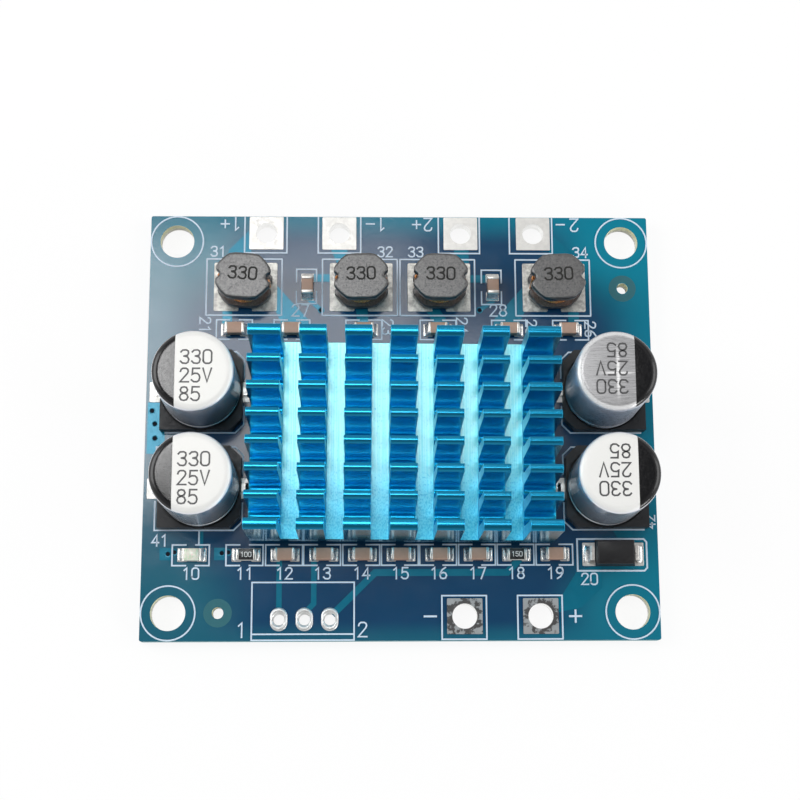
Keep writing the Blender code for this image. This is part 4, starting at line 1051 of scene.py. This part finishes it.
def bracket_marks(x, y, across):
    """Two facing brackets round a chip."""
    half_long = CHIP_MARK[0] / 2.0
    half_wide = CHIP_MARK[1] / 2.0
    gap = CHIP_MARK_OPENING / 2.0
    marks = []
    for side in (-1.0, 1.0):
        line = [(side * gap, half_wide), (side * half_long, half_wide),
                (side * half_long, -half_wide), (side * gap, -half_wide)]
        if across:
            line = [(v, u) for u, v in line]
        marks.append([(x + u, y + v) for u, v in line])
    return marks


def build_print():
    """Pale print on the mask: outlines, brackets, rings, plain numbers and signs."""
    bm = bmesh.new()
    low, high = BOARD_TOP - 0.01, BOARD_TOP + INK_RISE

    def line(points, closed=False, width=LINE):
        add_stroke(bm, points, width, low, high, closed)

    def brackets(x, y, across=False):
        for mark in bracket_marks(x, y, across):
            line(mark)

    def words(text, x, y, height, turn=0.0, width=LINE):
        add_words(bm, text, x, y, height, width, low, high, turn)

    for x in (-MOUNT_X, MOUNT_X):
        for y in (-MOUNT_Y, MOUNT_Y):
            reach = RING_RADIUS - LINE / 2.0
            line(circle(reach, x, y, 72), True)
    for number, x in enumerate(FRONT_ROW_X, start=10):
        brackets(x, FRONT_ROW_Y)
        words(str(number), x + 0.05, FRONT_NUMBERS_Y, NUMBER_HEIGHT)
    words("20", 18.95, -15.95, NUMBER_HEIGHT)
    for x in BACK_ROW_X:
        brackets(x, BACK_ROW_Y)
    for x, y in UPRIGHT_CHIPS:
        brackets(x, y, True)
    for x in INDUCTOR_MARKS_X:
        line(rounded_box_outline(*INDUCTOR_MARK, 0.02, x, INDUCTOR_MARKS_Y, 1), True)
    for left, right in SPEAKER_MARKS:
        line([(left, 21.9), (left, 18.05), (right, 18.05), (right, 21.9)])
    for left, right in SUPPLY_MARKS:
        line([(left, -17.59), (right, -17.59), (right, -21.91), (left, -21.91)], True)
    line([(-14.90, -16.23), (-4.70, -16.23), (-4.70, -21.95), (-14.90, -21.95)], True)
    line([(-14.90, -21.36), (-4.70, -21.36)])
    line([(17.79, -11.94), (24.55, -11.94), (24.82, -12.25), (24.82, -14.85), (24.55, -15.14),
          (17.79, -15.14)], True, 0.17)
    line([(-20.29, -11.1), (-20.29, -12.42)])

    for name, reach, side_line in CAN_MARKS:
        middle = node_middle(f"{name}_base")
        side = math.copysign(1.0, middle.x)
        outer = middle.x + side * reach
        inner = middle.x - side * 4.25
        for way in (1.0, -1.0):
            mark = [(outer, middle.y + way * 1.35)] if side_line else []
            mark += [(outer, middle.y + way * 4.24),
                     (inner + side * 0.85, middle.y + way * 4.24),
                     (inner, middle.y + way * 3.4), (inner, middle.y + way * 1.5)]
            line(mark)

    for text, x, y in (("+", -18.29, 21.2), ("1", -17.15, 21.2), ("-", -3.1, 21.25),
                       ("1", -1.95, 21.2), ("+", 1.75, 21.2), ("2", 2.95, 21.2),
                       ("-", 16.9, 21.25), ("2", 18.35, 21.2)):
        words(text, x, y, 1.35, 180.0)
    words("1", -15.91, -20.95, 1.4)
    words("2", -3.85, -20.92, 1.4)
    words("-", 2.9, -19.64, 1.9, width=0.19)
    words("+", 17.45, -19.66, 1.9, width=0.19)
    for text, x in (("31", -18.95), ("32", -1.55), ("33", 1.65), ("34", 18.9)):
        words(text, x, 18.2, 1.05)
    words("27", -10.35, 11.85, 1.2)
    words("28", 10.2, 11.9, 1.2)
    for text, x, y in (("21", -20.15, 10.3), ("23", -1.3, 10.1), ("24", 6.4, 10.3),
                       ("25", 13.6, 10.1), ("26", 19.75, 9.9)):
        words(text, x, y, NUMBER_HEIGHT, -90.0)
    words("41", -24.2, -12.0, NUMBER_HEIGHT)
    words("42", 25.30, -10.2, 0.90, 90.0, 0.13)
    add_piece("board_print", bm, [BOARD_INK], sharp=30.0)


# Heatsink


def comb_outline(height):
    """Top line of the extrusion from the +Y side to the -Y side, as (y, z) points."""
    gap = (HEATSINK_DEPTH - sum(FIN_TIPS)) / (len(FIN_TIPS) - 1)
    radius = gap / 2.0 - FIN_TAPER
    edge = HEATSINK_DEPTH / 2.0
    points = []
    for index, tip in enumerate(FIN_TIPS):
        centre = edge - tip / 2.0
        for step in range(CROWN_STEPS + 1):
            share = 1.0 - 2.0 * step / CROWN_STEPS
            points.append((centre + share * tip / 2.0, height - FIN_CROWN * share * share))
        if index == len(FIN_TIPS) - 1:
            break
        edge -= tip + gap
        middle = edge + gap / 2.0
        for step in range(VALLEY_STEPS + 1):
            angle = -math.pi * step / VALLEY_STEPS
            points.append((middle + radius * math.cos(angle),
                           HEATSINK_BASE + radius * (1.0 + math.sin(angle))))
    return points


def build_heatsink():
    """Comb of fins with milled channels, each fin end a cut face down to the channel floor."""
    low, high = node_box("heatsink")
    middle = (low + high) / 2.0
    half_x = HEATSINK_LENGTH / 2.0
    half_y = HEATSINK_DEPTH / 2.0
    height = high.z - low.z
    comb = comb_outline(height)
    first = -half_x + END_COLUMN
    pitch = (2.0 * half_x - 2.0 * END_COLUMN - CHANNEL_WIDTH) / (CHANNEL_COUNT - 1)
    columns = []
    start = -half_x
    for index in range(CHANNEL_COUNT):
        columns.append((start, first + index * pitch))
        start = first + index * pitch + CHANNEL_WIDTH
    columns.append((start, half_x))

    bm = bmesh.new()

    def face(corners, material):
        bm.faces.new([bm.verts.new(corner) for corner in corners]).material_index = material

    for left, right in columns:
        for (y0, z0), (y1, z1) in zip(comb, comb[1:]):
            face(((left, y0, z0), (left, y1, z1), (right, y1, z1), (right, y0, z0)), 0)
        for y in (half_y, -half_y):
            face(((left, y, CHANNEL_FLOOR), (right, y, CHANNEL_FLOOR),
                  (right, y, height - FIN_CROWN), (left, y, height - FIN_CROWN)), 0)
        for x in (left, right):
            cut = [(x, half_y, CHANNEL_FLOOR)] + [(x, y, z) for y, z in comb]
            cut.append((x, -half_y, CHANNEL_FLOOR))
            face(cut, 2)
    for (_left, start), (end, _right) in zip(columns, columns[1:]):
        face(((start, half_y, CHANNEL_FLOOR), (start, -half_y, CHANNEL_FLOOR),
              (end, -half_y, CHANNEL_FLOOR), (end, half_y, CHANNEL_FLOOR)), 1)
    marks = sorted({x for column in columns for x in column})
    for left, right in zip(marks, marks[1:]):
        for y in (half_y, -half_y):
            face(((left, y, 0.0), (right, y, 0.0), (right, y, CHANNEL_FLOOR),
                  (left, y, CHANNEL_FLOOR)), 0)
        face(((left, -half_y, 0.0), (right, -half_y, 0.0), (right, half_y, 0.0),
              (left, half_y, 0.0)), 0)
    for x in (-half_x, half_x):
        face(((x, half_y, 0.0), (x, -half_y, 0.0), (x, -half_y, CHANNEL_FLOOR),
              (x, half_y, CHANNEL_FLOOR)), 2)
    bm.transform(Matrix.Translation((middle.x, middle.y, low.z))
                 @ Matrix.Rotation(HEATSINK_TURN, 4, "Z"))
    add_piece("heatsink_fins", bm, [ANODISED, MILLED, CUT], replaces=["heatsink"],
              bevel=0.04)


# Capacitors


def build_can(name):
    """Drawn can with a crimped bead, a round shoulder and a printed segment on top."""
    low, high = node_box(f"{name}_can")
    middle = (low + high) / 2.0
    radius = (high.x - low.x) / 2.0
    top = high.z
    side = "left" if middle.x < 0.0 else "right"
    profile = [(0.0, low.z), (radius - 0.5, low.z), (radius - 0.12, low.z + 0.1),
               (radius, low.z + 0.32)]
    bead = low.z + CAN_BEAD
    for step in range(7):
        share = step / 6.0
        profile.append((radius - CAN_GROOVE * math.sin(math.pi * share) ** 2,
                        bead + (share - 0.5) * 0.55))
    for step in range(13):
        angle = math.radians(90.0 * step / 12.0)
        profile.append((radius - CAN_SHOULDER_REACH * (1.0 - math.cos(angle)),
                        top - CAN_SHOULDER * (1.0 - math.sin(angle))))
    profile += [(radius * 0.45, top), (0.0, top)]
    bm = bmesh.new()
    add_turned(bm, profile, middle.x, middle.y, 96)
    bmesh.ops.remove_doubles(bm, verts=bm.verts, dist=1e-4)
    chord = middle.x + INK_CHORD[side]
    shoulder = [f for f in bm.faces if f.calc_center_median().z > top - CAN_SHOULDER]
    geometry = list({v for f in shoulder for v in f.verts})
    geometry += list({e for f in shoulder for e in f.edges}) + shoulder
    bmesh.ops.bisect_plane(bm, geom=geometry, dist=1e-5, plane_co=(chord, 0.0, 0.0),
                           plane_no=(1.0, 0.0, 0.0))
    outward = math.copysign(1.0, INK_CHORD[side])
    for f in bm.faces:
        centre = f.calc_center_median()
        flat = centre.z > top - 0.02
        if centre.z > top - CAN_INK_DROP and outward * (centre.x - chord) > 0.0:
            f.material_index = 1 if flat else 2
    sheet = BRUSHED_CAN if name == "capacitor_rear_right" else SATIN_CAN
    add_piece(f"{name}_shell", bm, [sheet, CAN_INK, CAN_RIM],
              replaces=[f"{name}_can"], sharp=50.0)


def build_can_print(name):
    """Plain value numbers on top of a can, starting just inside the printed segment."""
    low, high = node_box(f"{name}_can")
    middle = (low + high) / 2.0
    side = "left" if middle.x < 0.0 else "right"
    turn = 0.0 if side == "left" else 180.0
    upward = 1.0 if side == "left" else -1.0
    off_x, off_y = CAN_PRINT_PLACE[side]
    bm = bmesh.new()
    for row, text in enumerate(("330", "25V", "85")):
        y = middle.y + off_y + upward * (1 - row) * CAN_ROW_PITCH
        add_words(bm, text, middle.x + off_x, y, 1.33, 0.16, high.z - 0.005, high.z + 0.012,
                  turn, room=3)
    add_piece(f"{name}_print", bm, [DIGIT_INK], sharp=30.0)


def build_tab_solder(bm, name):
    """Solder run up over the toe of each lead."""
    for part in ("lead_inner", "lead_outer"):
        low, high = node_box(f"{name}_{part}")
        toward = math.copysign(1.0, node_middle(f"{name}_{part}").x
                               - node_middle(f"{name}_base").x)
        toe = high.x if toward > 0.0 else low.x
        add_fillet(bm, toe - toward * 0.02, (low.y + high.y) / 2.0, toward, LEAD_FILLET,
                   (high.y - low.y) / 2.0 + 0.16, LAND_TOP, LAND_TOP + 0.26)


# Solder


def add_fillet(bm, wall, middle, toward, reach, half_width, low, high, along_y=False):
    """Hollow wedge of solder from a wall down to its toe, thinning to the sides."""
    rows = []
    for u_step in range(FILLET_STEPS + 1):
        u = u_step / FILLET_STEPS
        row = []
        for v_step in range(-FILLET_STEPS, FILLET_STEPS + 1):
            v = v_step / FILLET_STEPS
            round_off = math.sqrt(max(0.0, 1.0 - v ** 4))
            out = wall + toward * reach * u * (0.82 + 0.18 * round_off)
            across = middle + v * half_width * (1.0 + 0.06 * u)
            lift = (1.0 - u) ** 2.1 * round_off
            height = low + (high - low) * lift
            place = (across, out, height) if along_y else (out, across, height)
            row.append(bm.verts.new(place))
        rows.append(row)
    for first, second in zip(rows, rows[1:]):
        for index in range(len(first) - 1):
            bm.faces.new((first[index], first[index + 1], second[index + 1], second[index]))
    foot = low - 0.02
    border = rows[0] + [row[-1] for row in rows[1:]]
    border += rows[-1][-2::-1] + [row[0] for row in rows[-2:0:-1]]
    under = [bm.verts.new((vert.co.x, vert.co.y, foot)) for vert in border]
    for index in range(len(border)):
        following = (index + 1) % len(border)
        bm.faces.new((border[index], border[following], under[following], under[index]))
    bm.faces.new(under)


def build_solder():
    """Solder at both ends of every chip, at the lamp, the diode and the can leads."""
    bm = bmesh.new()
    for node in chip_nodes():
        low, high = node_box(node)
        middle = (low + high) / 2.0
        across = lies_across(node)
        climb = min(0.72 * (high.z - low.z), 0.8)
        for side in (-1.0, 1.0):
            if across:
                wall = (high.y if side > 0.0 else low.y) - side * 0.03
                add_fillet(bm, wall, middle.x, side, CHIP_FILLET, (high.x - low.x) / 2.0,
                           LAND_TOP, LAND_TOP + climb, True)
            else:
                wall = (high.x if side > 0.0 else low.x) - side * 0.03
                add_fillet(bm, wall, middle.y, side, CHIP_FILLET, (high.y - low.y) / 2.0,
                           LAND_TOP, LAND_TOP + climb)
    for part, side in (("diode_lead_left", -1.0), ("diode_lead_right", 1.0)):
        low, high = node_box(part)
        wall = (high.x if side > 0.0 else low.x) - side * 0.03
        add_fillet(bm, wall, (low.y + high.y) / 2.0, side, DIODE_FILLET,
                   (high.y - low.y) / 2.0 + 0.15, LAND_TOP, LAND_TOP + 0.6)
    for name in CAPACITORS:
        build_tab_solder(bm, name)
    add_piece("solder", bm, [SOLDER], sharp=60.0)


# Inductors


def cut_corners(points):
    """Closed line with each corner cut back by a share of the lines that meet there."""
    cut = []
    for index, (x, y) in enumerate(points):
        next_x, next_y = points[(index + 1) % len(points)]
        for near, far in ((0.82, 0.18), (0.18, 0.82)):
            cut.append((near * x + far * next_x, near * y + far * next_y))
    return cut


def flange_loop(inset=0.0):
    """Eight-sided flange with a wire notch at each end and slightly worn corners."""
    length = CORE_HALF[0] - inset
    depth = CORE_HALF[1] - inset
    flat = CORE_FLAT[0] / 2.0
    side = CORE_FLAT[1] / 2.0
    bulge_x = (length + flat) / 2.0 + (depth - side) / 16.0
    bulge_y = (depth + side) / 2.0 + (length - flat) / 16.0
    mouth = NOTCH_WIDTH / 2.0
    quarter = [(length - NOTCH_DEPTH, mouth / 3.0), (length - 0.1, mouth * 0.9),
               (length, mouth + 0.08), (length, side), (bulge_x, bulge_y), (flat, depth)]
    points = list(quarter)
    points += [(-x, y) for x, y in reversed(quarter)]
    points += [(-x, -y) for x, y in quarter]
    points += [(x, -y) for x, y in reversed(quarter)]
    return cut_corners(points)


def turned_point(x, y, centre, turn):
    """Point of an inductor turned about its centre."""
    angle = math.radians(turn)
    return (centre.x + x * math.cos(angle) - y * math.sin(angle),
            centre.y + x * math.sin(angle) + y * math.cos(angle))


def build_core(index, turn):
    """Drum core with worn flange edges."""
    node = f"inductor_{index}_core"
    low, high = node_box(node)
    centre = (low + high) / 2.0
    top = high.z
    bottom = low.z
    waist = []
    for x, y in flange_loop():
        angle = math.atan2(y, x)
        waist.append((WAIST * math.cos(angle), WAIST * math.sin(angle)))
    sections = []
    for inset, height in ((0.16, bottom), (0.05, bottom + 0.05), (0.0, bottom + 0.16),
                          (0.0, bottom + FLANGE - 0.1), (0.06, bottom + FLANGE)):
        sections.append((flange_loop(inset), height))
    sections.append((waist, bottom + FLANGE))
    sections.append((waist, top - FLANGE))
    for inset, height in ((0.06, top - FLANGE), (0.0, top - FLANGE + 0.1), (0.0, top - 0.2),
                          (0.03, top - 0.09), (0.10, top - 0.025), (0.2, top), (0.3, top)):
        sections.append((flange_loop(inset), height))
    bm = bmesh.new()
    loops = []
    for outline, height in sections:
        loops.append([(*turned_point(x, y, centre, turn), height) for x, y in outline])
    add_loft(bm, loops)
    add_piece(f"inductor_{index}_drum", bm, [FERRITE], replaces=[node], sharp=48.0)


def add_wire(bm, path):
    """Round wire along a path of points."""
    rings = []
    points = [Vector(point) for point in path]
    for index, point in enumerate(points):
        before = points[max(0, index - 1)]
        after = points[min(len(points) - 1, index + 1)]
        along = (after - before).normalized()
        across = along.cross(Vector((0.0, 0.0, 1.0)))
        if across.length < 0.2:
            across = along.cross(Vector((0.0, 1.0, 0.0)))
        across.normalize()
        other = along.cross(across)
        ring = []
        for side in range(WIRE_SIDES):
            angle = 2.0 * math.pi * side / WIRE_SIDES
            outward = across * math.cos(angle) + other * math.sin(angle)
            ring.append(point + outward * WIRE_RADIUS)
        rings.append(ring)
    add_loft(bm, rings)


def build_coil(index, turn):
    """Coil wound between the flanges, its two ends led out through the notches."""
    core_low, core_high = node_box(f"inductor_{index}_core")
    centre = (core_low + core_high) / 2.0
    bottom = core_low.z + FLANGE + WIRE_RADIUS + 0.03
    top = core_high.z - FLANGE - WIRE_RADIUS - 0.03
    turns = int((top - bottom) / (2.0 * WIRE_RADIUS + 0.01))
    steps = 40
    path = []
    for step in range(turns * steps + 1):
        angle = 2.0 * math.pi * step / steps
        x, y = turned_point(COIL_RADIUS * math.cos(angle), COIL_RADIUS * math.sin(angle),
                            centre, turn)
        path.append((x, y, bottom + (top - bottom) * step / (turns * steps)))
    bm = bmesh.new()
    add_turned(bm, [(WAIST + 0.06, bottom - WIRE_RADIUS), (COIL_RADIUS, bottom - WIRE_RADIUS),
                    (COIL_RADIUS, top + WIRE_RADIUS), (WAIST + 0.06, top + WIRE_RADIUS)],
               centre.x, centre.y, 32)
    add_wire(bm, path)
    notch = CORE_HALF[0] - NOTCH_DEPTH + 0.17
    for side in (-1.0, 1.0):
        lead = []
        for x, y, z in ((1.2, -1.75, top - 0.3), (1.9, -1.3, top - 0.25), (2.3, -0.7, top - 0.2),
                        (notch, -0.1, top - 0.15), (notch + 0.02, 0.05, top - 0.5),
                        (notch, 0.08, bottom), (notch, 0.05, core_low.z + 0.35)):
            px, py = turned_point(side * x, side * y, centre, turn)
            lead.append((px, py, z))
        add_wire(bm, lead)
    add_piece(f"inductor_{index}_coil", bm, [COPPER],
              replaces=[f"inductor_{index}_winding"], sharp=60.0)


def build_inductor_mark(index, turn):
    """Plain burnt-in number on the top flange."""
    low, high = node_box(f"inductor_{index}_core")
    centre = (low + high) / 2.0
    bm = bmesh.new()
    add_words(bm, "330", centre.x, centre.y + 0.25, 1.25, 0.19, high.z - 0.004, high.z + 0.006,
              turn)
    add_piece(f"inductor_{index}_mark", bm, [BURNT_INK], sharp=30.0)


# Small parts


def chip_loop(place, width, height, rounding):
    """Rounded upright loop across a chip."""
    outline = rounded_box_outline(width, height, rounding, 0.0, height / 2.0, 3)
    return [(place, u, v) for u, v in outline]


def add_chip(bm, node, body_material, end_material, top_material=None):
    """Ceramic block with plated ends that wrap round it."""
    low, high = node_box(node)
    middle = (low + high) / 2.0
    across = lies_across(node)
    length = (high.y - low.y) if across else (high.x - low.x)
    width = (high.x - low.x) if across else (high.y - low.y)
    height = high.z - low.z
    band = 0.38 if across else 0.24
    step = 0.035

    def put(loops, material):
        placed = []
        for loop in loops:
            ring = []
            for u, v, w in loop:
                if across:
                    ring.append((middle.x - v, middle.y + u, low.z + w))
                else:
                    ring.append((middle.x + u, middle.y + v, low.z + w))
            placed.append(ring)
        return add_loft(bm, placed, material)

    inner = length / 2.0 - band
    body = [chip_loop(place, width - 2.0 * step, height - 2.0 * step, 0.09)
            for place in (-inner - band / 2.0, inner + band / 2.0)]
    body = [[(u, v, w + step) for u, v, w in loop] for loop in body]
    faces = put(body, body_material)
    if top_material is not None:
        for face in faces:
            if face.calc_center_median().z > high.z - step - 0.01:
                face.material_index = top_material
    for side in (-1.0, 1.0):
        loops = []
        for out, shrink in ((inner - 0.03, 0.03), (inner, 0.006), (inner + 0.04, 0.0),
                            (length / 2.0 - 0.10, 0.0), (length / 2.0 - 0.03, 0.03),
                            (length / 2.0, 0.10)):
            loop = chip_loop(side * out, width - 2.0 * shrink, height - 2.0 * shrink, 0.13)
            loops.append([(u, v, w + shrink) for u, v, w in loop])
        put(loops, end_material)


def build_chips():
    """Ceramic capacitors and resistors."""
    for index in range(1, 16):
        node = f"ceramic_capacitor_{index:02d}"
        bm = bmesh.new()
        add_chip(bm, node, 0, 1)
        add_piece(f"{node}_body", bm, [TAN_CERAMIC, PLATE], replaces=[node],
                  sharp=50.0)
    for node, text in (("resistor_1", "100"), ("resistor_2", "150")):
        bm = bmesh.new()
        add_chip(bm, node, 0, 1, 2)
        middle = node_middle(node)
        _low, high = node_box(node)
        add_words(bm, text, middle.x, middle.y, 0.46, 0.065, high.z - 0.04, high.z - 0.015,
                  material=3)
        add_piece(f"{node}_body", bm, [ALUMINA, PLATE, GLAZE, WHITE_INK],
                  replaces=[node], sharp=50.0)


def build_lamp():
    """White carrier with plated ends and a drafted clear lens."""
    low, high = node_box("indicator_lamp")
    middle = (low + high) / 2.0
    half_x = (high.x - low.x) / 2.0
    half_y = (high.y - low.y) / 2.0
    carrier_top = low.z + 0.3
    bm = bmesh.new()
    add_prism(bm, rounded_box_outline(2.0 * half_x - 0.7, 2.0 * half_y, 0.05, middle.x,
                                      middle.y), low.z, carrier_top, 1)
    for side in (-1.0, 1.0):
        x = middle.x + side * (half_x - 0.2)
        add_prism(bm, rounded_box_outline(0.4, 2.0 * half_y, 0.04, x, middle.y), low.z,
                  carrier_top + 0.02, 2)
    loops = []
    for inset_x, inset_y, height in ((0.0, 0.0, carrier_top - 0.02), (0.02, 0.01, high.z - 0.2),
                                     (0.08, 0.05, high.z - 0.06), (0.2, 0.12, high.z)):
        outline = rounded_box_outline(1.5 - 2.0 * inset_x, 2.0 * (half_y - inset_y), 0.1,
                                      middle.x, middle.y)
        loops.append([(x, y, height) for x, y in outline])
    add_loft(bm, loops, 0)
    add_piece("indicator_lamp_body", bm, [LENS, WHITE_PLASTIC, PLATE],
              replaces=["indicator_lamp"], sharp=40.0)


def build_diode():
    """Moulded body with a parting line and tapered sides; the leads stay as they are."""
    low, high = node_box("diode_body")
    middle = (low + high) / 2.0
    half_x = (high.x - low.x) / 2.0
    half_y = (high.y - low.y) / 2.0
    parting = (low.z + high.z) / 2.0
    loops = []
    for inset, height in ((0.22, low.z), (0.17, low.z + 0.06), (0.02, parting - 0.03),
                          (0.0, parting), (0.02, parting + 0.03), (0.15, high.z - 0.08),
                          (0.20, high.z - 0.02), (0.26, high.z)):
        outline = rounded_box_outline(2.0 * (half_x - inset), 2.0 * (half_y - inset), 0.09,
                                      middle.x, middle.y)
        loops.append([(x, y, height) for x, y in outline])
    bm = bmesh.new()
    add_loft(bm, loops)
    add_piece("diode_moulding", bm, [DIODE_PLASTIC], replaces=["diode_body"],
              sharp=28.0)
    for node in ("diode_lead_left", "diode_lead_right"):
        dress_node(node, PLATE, 0.03)


def build_amplifier():
    """Package and leads of the hidden chip, told apart by where each face lies."""
    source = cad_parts["amplifier_chip"]
    low, high = node_box("amplifier_chip")
    middle = (low + high) / 2.0
    bm = bmesh.new()
    bm.from_mesh(source.data)
    bm.transform(Matrix.Scale(1.0 / MM, 4))
    body_half = 2.2
    for face in bm.faces:
        centre = face.calc_center_median()
        face.material_index = 1 if abs(centre.y - middle.y) > body_half + 0.01 else 0
    add_piece("amplifier_package", bm, [BLACK_PLASTIC, PLATE],
              replaces=["amplifier_chip"], sharp=30.0)
    dress_node("thermal_adhesive", ADHESIVE, 0.02)


def build_base_marks():
    """Low moulded ring on each capacitor base, left blank."""
    bm = bmesh.new()
    for name in CAPACITORS:
        low, high = node_box(f"{name}_base")
        side = math.copysign(1.0, (low.x + high.x) / 2.0)
        x = high.x - 0.95 if side > 0.0 else low.x + 0.95
        y = low.y + 0.95
        add_turned(bm, [(0.34, high.z - 0.01), (0.32, high.z + 0.02), (0.24, high.z + 0.02),
                        (0.22, high.z - 0.01)], x, y, 24)
    add_piece("base_marks", bm, [BLACK_PLASTIC])


def build_all():
    """Every piece, from the board up."""
    build_laminate()
    build_small_lands()
    build_wire_lands()
    build_audio_lands()
    build_traces()
    build_vias()
    build_tooling_rings()
    build_print()
    build_heatsink()
    for name in CAPACITORS:
        build_can(name)
        build_can_print(name)
        dress_node(f"{name}_base", BLACK_PLASTIC, 0.07)
        dress_node(f"{name}_lead_inner", PLATE, 0.03)
        dress_node(f"{name}_lead_outer", PLATE, 0.03)
    build_base_marks()
    for index, turn in enumerate(INDUCTOR_TURNS, start=1):
        build_core(index, turn)
        build_coil(index, turn)
        build_inductor_mark(index, turn)
        dress_node(f"inductor_{index}_terminal_left", PLATE, 0.02)
        dress_node(f"inductor_{index}_terminal_right", PLATE, 0.02)
    build_chips()
    build_lamp()
    build_diode()
    build_amplifier()
    build_solder()


make_camera()
light_studio()
make_floor()
build_all()

scene = bpy.context.scene
scene.view_settings.view_transform = "Standard"
